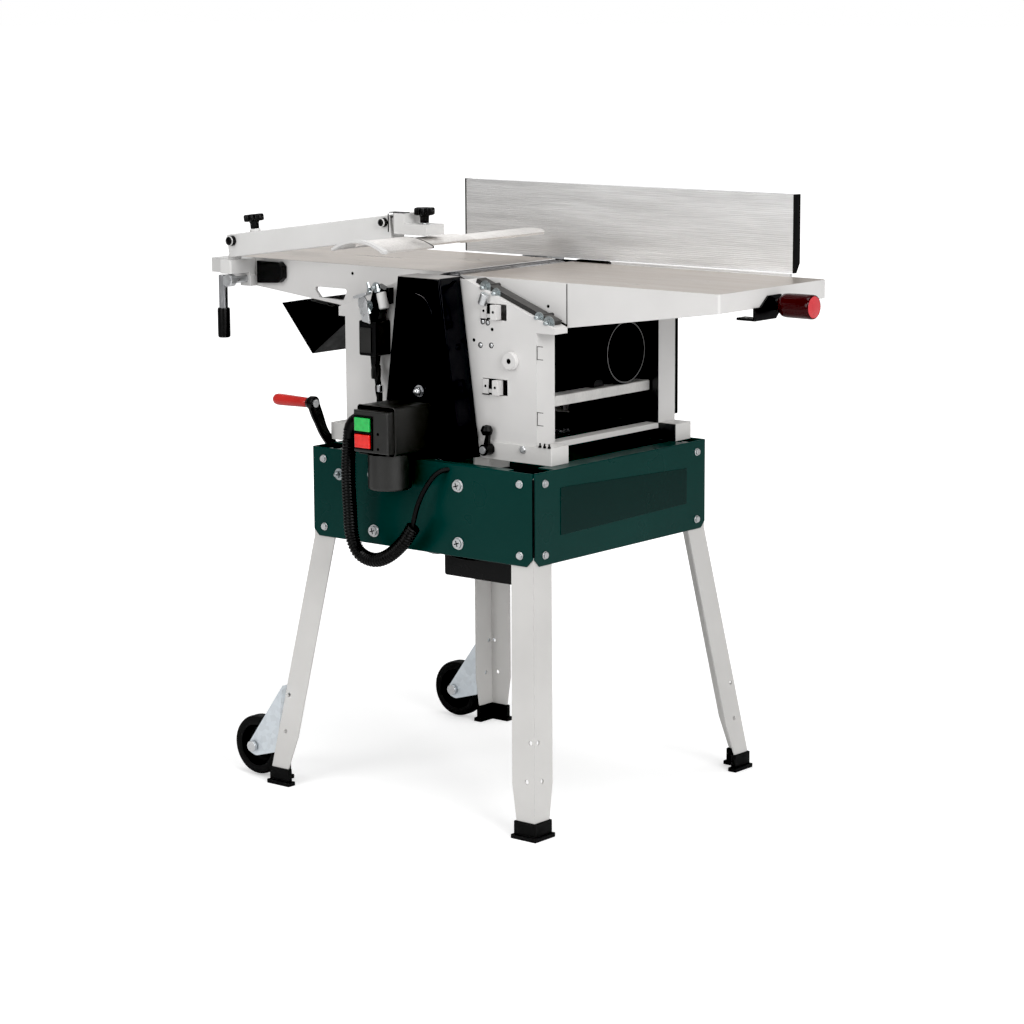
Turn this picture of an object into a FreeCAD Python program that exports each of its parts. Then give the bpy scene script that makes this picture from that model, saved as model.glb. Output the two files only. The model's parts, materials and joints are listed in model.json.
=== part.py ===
import FreeCAD, Part
import Sketcher
import math
import os

# Combined surface planer and thicknesser on a splayed stand.  Millimetres, +Z up, floor at Z 0.
# The work below is drawn about the centre of the stand; shift_x and shift_y then bring the middle
# of the whole machine's box over the origin.  +X is the infeed end, +Y points away from the operator.

Vector = FreeCAD.Vector

SIZES = {
    "shift_x": -13.0,
    "shift_y": -4.0,
    # stand
    "stand_length": 460,
    "stand_width": 446,
    "stand_bottom": 409,
    "stand_top": 554,
    "sheet": 2.5,
    "corner_gap": 3,
    "skirt_flange": 18,
    "rail_seat": 34,
    "leg_thick": 2.5,
    "leg_flange": 44,
    "leg_toe_flange": 36,
    "leg_toe_x": 276,
    "leg_toe_y": 280,
    "foot_height": 28,
    "foot_flare": 3.5,
    "bolt_inset": 27,
    "bolt_low": 425.5,
    "bolt_high": 536,
    # wheels
    "wheel_radius": 49,
    "wheel_width": 25,
    "axle_radius": 5,
    "axle_x": -326,
    "axle_z": 52,
    "wheel_y": 252,
    # rails and side panels
    "rail_left": -255,
    "rail_right": 206,
    "rail_height": 28,
    "rail_wall": 3,
    "rail_deep": 43,
    "front_face": -147,
    "inner_front": -102,
    "inner_rear": 165.5,
    "rear_face": 210.5,
    "panel_left": -222,
    "panel_right": 175,
    "post_top": 757,
    "slope_angle": 20.5,
    "slope_top": 831.4,
    "slope_start": 35,
    "slope_reach": 175,
    "slope_mirror": -21,
    "ledge_left": -236,
    # cutter and feed
    "cutter_x": -28,
    "cutter_radius": 31,
    "knife_reach": 1,
    "journal_radius": 10,
    "bearing_radius": 21,
    "pulley_radius": 22,
    "belt_y": -175,
    "belt_width": 16,
    "roller_offset": 60,
    "roller_radius": 16,
    "roller_z": 787.3,
    # motor
    "motor_x": -8,
    "motor_z": 452,
    "motor_pulley_radius": 51,
    # tables
    "table_front": -111.5,
    "table_rear": 169.3,
    "outfeed_top": 836.3,
    "infeed_top": 833.3,
    "outfeed_end": -519,
    "infeed_end": 492.8,
    "table_bar_top": 833,
    "plate": 7,
    "skirt_wall": 6,
    "lip_gap": 12,
    "depth_of_cut": 3,
    # thickness table and lift
    "bed_top": 652,
    "bed_plate": 17,
    "bed_left": -235,
    "bed_right": 160,
    "bed_front": -98.5,
    "bed_rear": 161.5,
    "screw_x": -30,
    "screw_front": -124,
    "screw_rear": 187,
    "screw_radius": 8,
    "chain_z": 548,
    "crank_z": 524,
    "crank_face": -259,
    # chip hood
    "hood_front": -95,
    "hood_rear": 160,
    "port_y": 96,
    "port_z": 703.5,
    "port_radius": 50,
    # belt cover and switch
    "cover_front": -200,
    "switch_front": -300,
    # fence
    "fence_face": 176,
    "fence_thick": 16,
    "fence_left": -238,
    "fence_right": 426,
    "fence_bottom": 838,
    "fence_top": 960,
    "tilt_y": 204,
    "tilt_z": 846,
    "holder_near": 224.5,
    "holder_deep": 48,
    "holder_top": 868,
    # cutter guard
    "arm_y": -150,
    "arm_left_x": -455,
    "arm_left_z": 868,
    "arm_length": 340,
    "arm_tilt": 7.8,
    "arm_half": 15,
    "arm_up": 11,
    "arm_down": 27,
    "arm_wall": 2.5,
    "arm_knob": 40,
    "block_left": -480,
    "block_right": -454,
    "block_near": -172,
    "block_top": 836,
    "rail_drop": 24,
    "cam_x": -463,
    "cam_y": -165,
    "cam_z": 802,
    "guard_x": -47,
    "guard_z": 886,
    "guard_near": -306,
    "guard_tip": 120,
    "running": 0.05,
}


class Dim:
    """A length that carries its number and the spreadsheet formula that drives it."""

    def __init__(self, number, formula):
        self.number = float(number)
        self.formula = formula

    def join(self, other, sign, number):
        return Dim(number, f"({self.formula} {sign} {dim(other).formula})")

    def __add__(self, other):
        return self.join(other, "+", self.number + dim(other).number)

    def __sub__(self, other):
        return self.join(other, "-", self.number - dim(other).number)

    def __mul__(self, other):
        return self.join(other, "*", self.number * dim(other).number)

    def __truediv__(self, other):
        return self.join(other, "/", self.number / dim(other).number)

    def __radd__(self, other):
        return dim(other) + self

    def __rsub__(self, other):
        return dim(other) - self

    def __rmul__(self, other):
        return dim(other) * self

    def __neg__(self):
        return Dim(-self.number, f"(0 - {self.formula})")


def dim(value):
    """Any number or Dim as a Dim."""
    if isinstance(value, Dim):
        return value
    return Dim(value, f"({float(value)!r})")


def sine(angle):
    return Dim(math.sin(math.radians(angle.number)), f"sin({angle.formula})")


def cosine(angle):
    return Dim(math.cos(math.radians(angle.number)), f"cos({angle.formula})")


def tangent(angle):
    return sine(angle) / cosine(angle)


doc = FreeCAD.newDocument("planer")
sheet = doc.addObject("Spreadsheet::Sheet", "Dims")


class Cells:
    """One attribute for each spreadsheet cell."""

    def __init__(self, sizes):
        for row, (name, value) in enumerate(sizes.items(), start=1):
            sheet.set(f"A{row}", name)
            sheet.set(f"B{row}", str(value))
            sheet.setAlias(f"B{row}", name)
            setattr(self, name, Dim(value, f"Dims.{name}"))


S = Cells(SIZES)
doc.recompute()
NODES = []
PLANES = {"xy": "XY_Plane", "xz": "XZ_Plane", "yz": "YZ_Plane"}
AXES = {"x": Vector(1, 0, 0), "y": Vector(0, 1, 0), "z": Vector(0, 0, 1)}


# ---------------------------------------------------------------- building blocks

def place(piece, at=(0, 0, 0), turn_axis=None, turn=None):
    """Sets a sub-part's own Placement: machine shift plus its place, and a turn if it has one."""
    x, y, z = (dim(value) for value in at)
    if turn is not None:
        piece.Placement = FreeCAD.Placement(Vector(), FreeCAD.Rotation(AXES[turn_axis], turn.number))
        piece.setExpression("Placement.Rotation.Angle", turn.formula)
    piece.setExpression("Placement.Base.x", (S.shift_x + x).formula)
    piece.setExpression("Placement.Base.y", (S.shift_y + y).formula)
    piece.setExpression("Placement.Base.z", z.formula)
    NODES.append(piece)
    return piece


def new_body(name, **where):
    body = doc.addObject("PartDesign::Body", name)
    body.Label = name
    return place(body, **where)


def origin_feature(body, role):
    for feature in body.Origin.OriginFeatures:
        if feature.Role == role:
            return feature
    raise ValueError(role)


def add_loop(sketch, corners):
    """Closed outline whose every corner is held by its two coordinates."""
    ends = [Vector(dim(x).number, dim(y).number, 0) for x, y in corners]
    count = len(ends)
    first = sketch.GeometryCount
    sketch.addGeometry([Part.LineSegment(ends[i], ends[(i + 1) % count]) for i in range(count)], False)
    rules = [Sketcher.Constraint("Coincident", first + i, 2, first + (i + 1) % count, 1)
             for i in range(count)]
    for i, end in enumerate(ends):
        rules.append(Sketcher.Constraint("DistanceX", first + i, 1, end.x))
        rules.append(Sketcher.Constraint("DistanceY", first + i, 1, end.y))
    held = sketch.addConstraint(rules)[count:]
    for i, (x, y) in enumerate(corners):
        sketch.setExpression(f"Constraints[{held[2 * i]}]", dim(x).formula)
        sketch.setExpression(f"Constraints[{held[2 * i + 1]}]", dim(y).formula)


def add_circle(sketch, x, y, radius):
    x, y, radius = dim(x), dim(y), dim(radius)
    number = sketch.GeometryCount
    sketch.addGeometry(Part.Circle(Vector(x.number, y.number, 0), AXES["z"], radius.number), False)
    held = sketch.addConstraint([
        Sketcher.Constraint("DistanceX", number, 3, x.number),
        Sketcher.Constraint("DistanceY", number, 3, y.number),
        Sketcher.Constraint("Radius", number, radius.number),
    ])
    for rule, value in zip(held, (x, y, radius)):
        sketch.setExpression(f"Constraints[{rule}]", value.formula)


def new_sketch(body, plane, level, loops=(), circles=()):
    """Sketch on the body's own origin plane, moved along that plane's world axis to level."""
    sketch = body.newObject("Sketcher::SketchObject", body.Label + "_sketch")
    sketch.AttachmentSupport = (origin_feature(body, PLANES[plane]), [""])
    sketch.MapMode = "FlatFace"
    offset = -dim(level) if plane == "xz" else dim(level)
    sketch.setExpression("AttachmentOffset.Base.z", offset.formula)
    for corners in loops:
        add_loop(sketch, corners)
    for x, y, radius in circles:
        add_circle(sketch, x, y, radius)
    return sketch


def pad(body, plane, low, high, loops=(), circles=()):
    """Adds material between two levels along the plane's world axis."""
    start = high if plane == "xz" else low
    feature = body.newObject("PartDesign::Pad", body.Label + "_pad")
    feature.Profile = new_sketch(body, plane, start, loops, circles)
    feature.setExpression("Length", (dim(high) - dim(low)).formula)
    return feature


def cut(body, plane, low, high, loops=(), circles=()):
    """Removes material between two levels along the plane's world axis."""
    start = low if plane == "xz" else high
    feature = body.newObject("PartDesign::Pocket", body.Label + "_pocket")
    feature.Profile = new_sketch(body, plane, start, loops, circles)
    feature.setExpression("Length", (dim(high) - dim(low)).formula)
    return feature


def revolve(body, plane, loop, axis="V_Axis"):
    """Turns an outline once round the sketch's own upright (or level) axis."""
    sketch = new_sketch(body, plane, 0, [loop])
    feature = body.newObject("PartDesign::Revolution", body.Label + "_turn")
    feature.Profile = sketch
    feature.ReferenceAxis = (sketch, [axis])
    feature.Angle = 360
    return feature


def repeat(body, feature, axis_role, span, count):
    """Copies a feature in a straight row along one of the body's axes."""
    body.Tip = feature
    row = body.newObject("PartDesign::LinearPattern", body.Label + "_row")
    row.Originals = [feature]
    row.Direction = (origin_feature(body, axis_role), [""])
    row.setExpression("Length", dim(span).formula)
    row.Occurrences = count
    body.Tip = row
    return row


def spin(body, feature, axis_role, count):
    """Copies a feature evenly round one of the body's axes."""
    body.Tip = feature
    ring = body.newObject("PartDesign::PolarPattern", body.Label + "_ring")
    ring.Originals = [feature]
    ring.Axis = (origin_feature(body, axis_role), [""])
    ring.Angle = 360
    ring.Occurrences = count
    body.Tip = ring
    return ring


def is_along(edge, axis):
    if not isinstance(edge.Curve, (Part.Line, Part.LineSegment)):
        return False
    return abs(edge.tangentAt(edge.FirstParameter).dot(AXES[axis])) > 0.999


def round_edges(body, radius, chosen):
    """Fillets every edge of the body that the test accepts."""
    doc.recompute()
    tip = body.Tip
    names = [f"Edge{n}" for n, edge in enumerate(tip.Shape.Edges, start=1) if chosen(edge)]
    fillet = body.newObject("PartDesign::Fillet", body.Label + "_fillet")
    fillet.Base = (tip, names)
    fillet.setExpression("Radius", dim(radius).formula)
    return fillet


def box_loop(left, right, bottom, top):
    return [(left, bottom), (right, bottom), (right, top), (left, top)]


def rod(name, axis, at, radius, low, high):
    """Part::Cylinder along an axis; at gives the two other coordinates in x, y, z order."""
    bar = doc.addObject("Part::Cylinder", name)
    bar.setExpression("Radius", dim(radius).formula)
    bar.setExpression("Height", (dim(high) - dim(low)).formula)
    bar.Placement = FreeCAD.Placement(Vector(), FreeCAD.Rotation(AXES["z"], AXES[axis]))
    where = list(at)
    where.insert("xyz".index(axis), low)
    for letter, value in zip("xyz", where):
        bar.setExpression(f"Placement.Base.{letter}", dim(value).formula)
    return bar


def block(name, x, y, z):
    """Part::Box between pairs of levels."""
    box = doc.addObject("Part::Box", name)
    for letter, size, (low, high) in zip("xyz", ("Length", "Width", "Height"), (x, y, z)):
        box.setExpression(size, (dim(high) - dim(low)).formula)
        box.setExpression(f"Placement.Base.{letter}", dim(low).formula)
    return box


def join(name, pieces):
    fused = doc.addObject("Part::MultiFuse", name)
    fused.Shapes = pieces
    return fused


def take(name, base, tool):
    left = doc.addObject("Part::Cut", name)
    left.Base = base
    left.Tool = tool
    return left


def group(name, pieces):
    """Separate solids kept in one named node."""
    bundle = doc.addObject("Part::Compound", name)
    bundle.Label = name
    bundle.Links = pieces
    return place(bundle)


# ---------------------------------------------------------------- shared positions

SLOPE = tangent(S.slope_angle)
HALF_LENGTH = S.stand_length / 2
HALF_WIDTH = S.stand_width / 2
RAIL_TOP = S.stand_top + S.rail_height
CUTTER_Z = S.outfeed_top - S.cutter_radius - S.knife_reach
SIDES = {"front": -1, "rear": 1}
ENDS = {"left": -1, "right": 1}
MOTOR_SCREW_ROWS = (430.5, 521)
MOTOR_SCREW_PITCH = 176
MOTOR_SCREW_HOLE = 4.1
BOLT_HOLE = 3.1
PAWL_X, PAWL_Z, PAWL_ROD = 66, 797, 5
ROLLER_JOURNAL = 8
KNOB_Y, KNOB_Z, KNOB_SHAFT = 26, 807.5, 5
SPROCKET = 14
CRANK_REACH_Y, CRANK_REACH_Z, CRANK_ARM, CRANK_PIN = -64, 93, 8, 4
BUTTON_LEFT, BUTTON_RIGHT = -61, -30
BUTTON_ROWS = ((604, 625), (578, 599))
ARM_PIN = 5
CAM_PIN = 6
BAR_LEFT, BAR_RIGHT = -145, -115
BAR_LOW, BAR_THICK = 4, 8
TILT_PIN = 4
LEVER_X, LEVER_Z, LEVER_PIN = 84, 570, 3


def slope_z(x):
    """Height of the infeed guide slope at x."""
    return S.slope_top - (dim(x) - S.slope_start) * SLOPE


def wall_band(side):
    """Outer face and inner face of the front or rear side panel."""
    if side == "front":
        return S.front_face, S.inner_front
    return S.rear_face, S.inner_rear


def ordered(first, second):
    first, second = dim(first), dim(second)
    return (first, second) if first.number < second.number else (second, first)


def leg_corner(z):
    """Outer corner of a leg, measured out from the stand's centre, at height z."""
    inside_x = HALF_LENGTH - S.sheet
    inside_y = HALF_WIDTH - S.sheet
    share = (S.stand_bottom - dim(z)) / (S.stand_bottom - S.foot_height)
    return (inside_x + (S.leg_toe_x - inside_x) * share,
            inside_y + (S.leg_toe_y - inside_y) * share)


# ---------------------------------------------------------------- stand

def skirt_lengthwise(side):
    """Front or rear skirt: a sheet with folded top and bottom flanges."""
    sign = SIDES[side]
    body = new_body(f"skirt_{side}")
    reach = HALF_LENGTH - S.corner_gap
    bevel = 12
    outline = [(-reach, S.stand_bottom + bevel), (-reach + bevel, S.stand_bottom),
               (reach - bevel, S.stand_bottom), (reach, S.stand_bottom + bevel),
               (reach, S.stand_top), (-reach, S.stand_top)]
    outer, inner = ordered(HALF_WIDTH * sign, (HALF_WIDTH - S.sheet) * sign)
    pad(body, "xz", outer, inner, [outline])
    edge, fold = ordered((HALF_WIDTH - S.sheet) * sign, (HALF_WIDTH - S.skirt_flange) * sign)
    flange = reach - S.leg_flange - 6
    for low, high in ((S.stand_top - S.sheet, S.stand_top), (S.stand_bottom, S.stand_bottom + S.sheet)):
        pad(body, "xy", low, high, [box_loop(-flange, flange, edge, fold)])
    bolt_x = HALF_LENGTH - S.bolt_inset
    holes = [(x, z, BOLT_HOLE) for x in (-bolt_x, bolt_x) for z in (S.bolt_low, S.bolt_high)]
    if side == "front":
        holes += [(x, z, MOTOR_SCREW_HOLE) for x in motor_screw_columns() for z in MOTOR_SCREW_ROWS]
    cut(body, "xz", outer, inner, circles=holes)
    outer_y = (HALF_WIDTH * sign).number
    round_edges(body, 1.8, lambda edge: (is_along(edge, "z") or is_along(edge, "x"))
                and abs(edge.CenterOfMass.y - outer_y) < 0.1)


def skirt_endwise(end):
    """Left or right skirt; the left one lets the crank shaft through."""
    sign = ENDS[end]
    body = new_body(f"skirt_{end}")
    reach = HALF_WIDTH - S.corner_gap
    bevel = 12
    outline = [(-reach, S.stand_bottom + bevel), (-reach + bevel, S.stand_bottom),
               (reach - bevel, S.stand_bottom), (reach, S.stand_bottom + bevel),
               (reach, S.stand_top), (-reach, S.stand_top)]
    outer, inner = ordered(HALF_LENGTH * sign, (HALF_LENGTH - S.sheet) * sign)
    pad(body, "yz", outer, inner, [outline])
    edge, fold = ordered((HALF_LENGTH - S.sheet) * sign, (HALF_LENGTH - S.rail_seat) * sign)
    flange = reach - S.leg_flange - 6
    for low, high in ((S.stand_top - S.sheet, S.stand_top), (S.stand_bottom, S.stand_bottom + S.sheet)):
        pad(body, "xy", low, high, [box_loop(edge, fold, -flange, flange)])
    bolt_y = HALF_WIDTH - S.bolt_inset
    holes = [(y, z, BOLT_HOLE) for y in (-bolt_y, bolt_y) for z in (S.bolt_low, S.bolt_high)]
    if end == "left":
        holes.append((S.screw_front, S.crank_z, 6))
    cut(body, "yz", outer, inner, circles=holes)
    outer_x = (HALF_LENGTH * sign).number
    round_edges(body, 1.8, lambda edge: (is_along(edge, "z") or is_along(edge, "y"))
                and abs(edge.CenterOfMass.x - outer_x) < 0.1)


def motor_screw_columns():
    return (S.motor_x - MOTOR_SCREW_PITCH / 2, S.motor_x + MOTOR_SCREW_PITCH / 2)


def leg_section(z, flange, sx, sy):
    """Corners of the leg's angle section at height z."""
    corner_x, corner_y = leg_corner(z)
    wall = S.leg_thick
    steps = ((0, 0), (flange, 0), (flange, wall), (wall, wall), (wall, flange), (0, flange))
    return [((corner_x - a) * sx, (corner_y - b) * sy) for a, b in steps]


def leg(side, end):
    """Splayed sheet angle, upright inside the skirt, narrowing near the foot."""
    sx, sy = ENDS[end], SIDES[side]
    body = new_body(f"leg_{side}_{end}")
    waist = 82
    levels = ((S.foot_height, S.leg_toe_flange), (dim(waist), S.leg_flange), (S.stand_bottom, S.leg_flange))
    sections = [new_sketch(body, "xy", z, [leg_section(z, flange, sx, sy)]) for z, flange in levels]
    loft = body.newObject("PartDesign::AdditiveLoft", body.Label + "_loft")
    loft.Profile = sections[0]
    loft.Sections = sections[1:]
    loft.Ruled = True
    pad(body, "xy", S.stand_bottom, S.bolt_high + 10, [leg_section(S.stand_bottom, S.leg_flange, sx, sy)])
    spare_holes = (88, 147)
    spare_x, spare_radius = 253, 3.5
    bolt_rows = (S.bolt_low, S.bolt_high)
    cut(body, "xz", *ordered(230 * sy, 290 * sy),
        circles=[(spare_x * sx, z, spare_radius) for z in spare_holes])
    cut(body, "yz", *ordered(240 * sx, 290 * sx),
        circles=[(S.wheel_y * sy, z, spare_radius) for z in spare_holes])
    bolt_x, bolt_y = (HALF_LENGTH - S.bolt_inset) * sx, (HALF_WIDTH - S.bolt_inset) * sy
    cut(body, "xz", *ordered(210 * sy, 225 * sy), circles=[(bolt_x, z, BOLT_HOLE) for z in bolt_rows])
    cut(body, "yz", *ordered(210 * sx, 228 * sx), circles=[(bolt_y, z, BOLT_HOLE) for z in bolt_rows])


def rubber_feet():
    """Four L-shaped boots with a flared sole."""
    feet = []
    size, wall, sole = 42, 9, 7
    flare = S.foot_flare
    for side, sy in SIDES.items():
        for end, sx in ENDS.items():
            tag = f"foot_{side}_{end}"
            x_out, y_out = S.leg_toe_x + 3, S.leg_toe_y + 3
            boot = block(tag + "_boot", ordered((x_out - size) * sx, x_out * sx),
                         ordered((y_out - size) * sy, y_out * sy), (sole, S.foot_height))
            base = block(tag + "_sole", ordered((x_out - size - flare) * sx, (x_out + flare) * sx),
                         ordered((y_out - size - flare) * sy, (y_out + flare) * sy), (0, sole))
            boot_notch = block(tag + "_boot_notch", ordered((x_out - size - 1) * sx, (x_out - wall) * sx),
                               ordered((y_out - size - 1) * sy, (y_out - wall) * sy), (sole, S.foot_height + 1))
            inner = wall + flare
            sole_notch = block(tag + "_sole_notch",
                               ordered((x_out - size - flare - 1) * sx, (x_out - inner) * sx),
                               ordered((y_out - size - flare - 1) * sy, (y_out - inner) * sy), (-1, sole))
            notch = join(tag + "_notch", [boot_notch, sole_notch])
            feet.append(take(tag, join(tag + "_whole", [boot, base]), notch))
    group("rubber_feet", feet)


def hex_bolt(tag, axis, at, face, outward, head, shank, length):
    """Pan-headed bolt with a washer, its head outside a face and its shank behind it."""
    washer, crown = 1.2, head * 0.55
    near, far = ordered(face, dim(face) + washer * outward)
    ring = rod(tag + "_washer", axis, at, head * 1.25, near, far)
    low, high = ordered(face, dim(face) + (washer + crown) * outward)
    cap = rod(tag + "_head", axis, at, head, low, high)
    inner, outer = ordered(face, dim(face) - length * outward)
    stem = rod(tag + "_shank", axis, at, shank, inner, outer)
    return join(tag, [ring, cap, stem])


def stand_bolts():
    """Corner bolts through skirts and legs, motor screws, wheel axles and the feed lever's pivot."""
    bolts = []
    bolt_x, bolt_y = HALF_LENGTH - S.bolt_inset, HALF_WIDTH - S.bolt_inset
    grip = S.sheet + S.leg_thick + 6
    for side, sy in SIDES.items():
        for end, sx in ENDS.items():
            for number, z in enumerate((S.bolt_low, S.bolt_high), start=1):
                tag = f"corner_bolt_{side}_{end}_{number}"
                bolts.append(hex_bolt(tag + "_face", "y", (bolt_x * sx, z), HALF_WIDTH * sy, sy, 5, 3, grip))
                bolts.append(hex_bolt(tag + "_end", "x", (bolt_y * sy, z), HALF_LENGTH * sx, sx, 5, 3, grip))
    for column, x in enumerate(motor_screw_columns(), start=1):
        for row, z in enumerate(MOTOR_SCREW_ROWS, start=1):
            bolts.append(hex_bolt(f"motor_screw_{column}_{row}", "y", (x, z), -HALF_WIDTH, -1, 8, 4, 14))
    reach = S.wheel_width / 2 + 8
    for side, sy in SIDES.items():
        centre = S.wheel_y * sy
        at = (S.axle_x, S.axle_z)
        tag = f"axle_{side}"
        stem = rod(tag + "_stem", "y", at, S.axle_radius, centre - reach, centre + reach)
        head = rod(tag + "_head", "y", at, 9, centre - reach - 5, centre - reach)
        nut = rod(tag + "_nut", "y", at, 8, centre + reach, centre + reach + 6)
        bolts.append(join(tag, [stem, head, nut]))
    pivot = (LEVER_X, LEVER_Z)
    lever_face = S.front_face - 20
    stem = rod("lever_pivot_stem", "y", pivot, LEVER_PIN, lever_face, S.front_face - 2.5)
    head = rod("lever_pivot_head", "y", pivot, 6, lever_face - 3, lever_face - 0.2)
    bolts.append(join("lever_pivot", [stem, head]))
    group("stand_bolts", bolts)


def wheel_bracket(side):
    """Folded zinc bracket: a base strip on the leg and a triangular cheek each side of the wheel."""
    sy = SIDES[side]
    top, bottom = 163, 50
    cheek = 2
    half = S.wheel_width / 2 + 6
    centre = S.wheel_y * sy
    back_top = -leg_corner(top)[0]
    back_bottom = -leg_corner(bottom)[0]
    outline = [(back_top, top), (S.axle_x - 20, S.axle_z - 8), (S.axle_x + 4, S.axle_z - 16),
               (back_bottom, bottom)]
    body = doc.addObject("PartDesign::Body", f"wheel_bracket_{side}")
    pad(body, "xz", centre - half, centre + half, [outline])
    nose = (S.axle_x - 20).number
    heel = (S.axle_x + 4).number
    round_edges(body, 11, lambda edge: is_along(edge, "y") and abs(edge.CenterOfMass.x - nose) < 1)
    round_edges(body, 14, lambda edge: is_along(edge, "y") and abs(edge.CenterOfMass.x - heel) < 1)
    hollow = [(back_top - cheek, top + 8), (S.axle_x - 60, top + 8), (S.axle_x - 60, 0),
              (back_bottom - cheek, 0), (back_bottom - cheek, bottom)]
    cut(body, "xz", centre - half + cheek, centre + half - cheek, [hollow])
    cut(body, "xz", centre - half, centre + half, circles=[(S.axle_x, S.axle_z, S.axle_radius)])
    return body


def wheel(side):
    """Solid wheel with a raised hub and a hollow between hub and tread."""
    sy = SIDES[side]
    body = new_body(f"wheel_{side}", at=(S.axle_x, S.wheel_y * sy, S.axle_z))
    half = S.wheel_width / 2
    bore = S.axle_radius + S.running
    hub, web, rim = 15, 4, 33
    crown = 3
    outline = [(bore, -half - 2), (hub, -half - 2), (hub + 1, -web), (rim, -web), (rim + 2, -half),
               (S.wheel_radius - crown, -half), (S.wheel_radius, -half + crown),
               (S.wheel_radius, half - crown), (S.wheel_radius - crown, half), (rim + 2, half),
               (rim, web), (hub + 1, web), (hub, half + 2), (bore, half + 2)]
    revolve(body, "xy", outline)


# ---------------------------------------------------------------- rails and side panels

def base_rail(side):
    """Channel along the foot of a side panel, open underneath."""
    outer, _ = wall_band(side)
    sy = SIDES[side]
    face = outer + 2.5 * sy
    near, far = ordered(face, face - S.rail_deep * sy)
    body = new_body(f"base_rail_{side}")
    bottom = S.stand_top
    pad(body, "xy", bottom, RAIL_TOP, [box_loop(S.rail_left, S.rail_right, near, far)])
    wall = S.rail_wall
    cut(body, "xy", bottom, RAIL_TOP - wall,
        [box_loop(S.rail_left + wall, S.rail_right - wall, near + wall, far - wall)])
    screw_y = S.screw_front if side == "front" else S.screw_rear
    cut(body, "xy", RAIL_TOP - wall, RAIL_TOP, circles=[(S.screw_x, screw_y, S.screw_radius + S.running)])
    round_edges(body, 1.5, lambda edge: is_along(edge, "z") and
                (abs(edge.CenterOfMass.x - S.rail_right.number) < 0.1
                 or abs(edge.CenterOfMass.x - S.rail_left.number) < 0.1))


def cross_members():
    """Two bars between the base rails, and the rod that the pawls hang on."""
    sy_front = S.front_face - 2.5 + S.rail_deep
    sy_rear = S.rear_face + 2.5 - S.rail_deep
    right = block("cross_right", (150, 172), (sy_front, sy_rear), (RAIL_TOP - 9, RAIL_TOP))
    left = block("cross_left", (-240, -218), (sy_front, sy_rear), (RAIL_TOP - 9, RAIL_TOP))
    pawl_rod = rod("pawl_rod", "y", (PAWL_X, PAWL_Z), PAWL_ROD, S.inner_front, S.inner_rear)
    group("cross_members", [right, left, pawl_rod])


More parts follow.
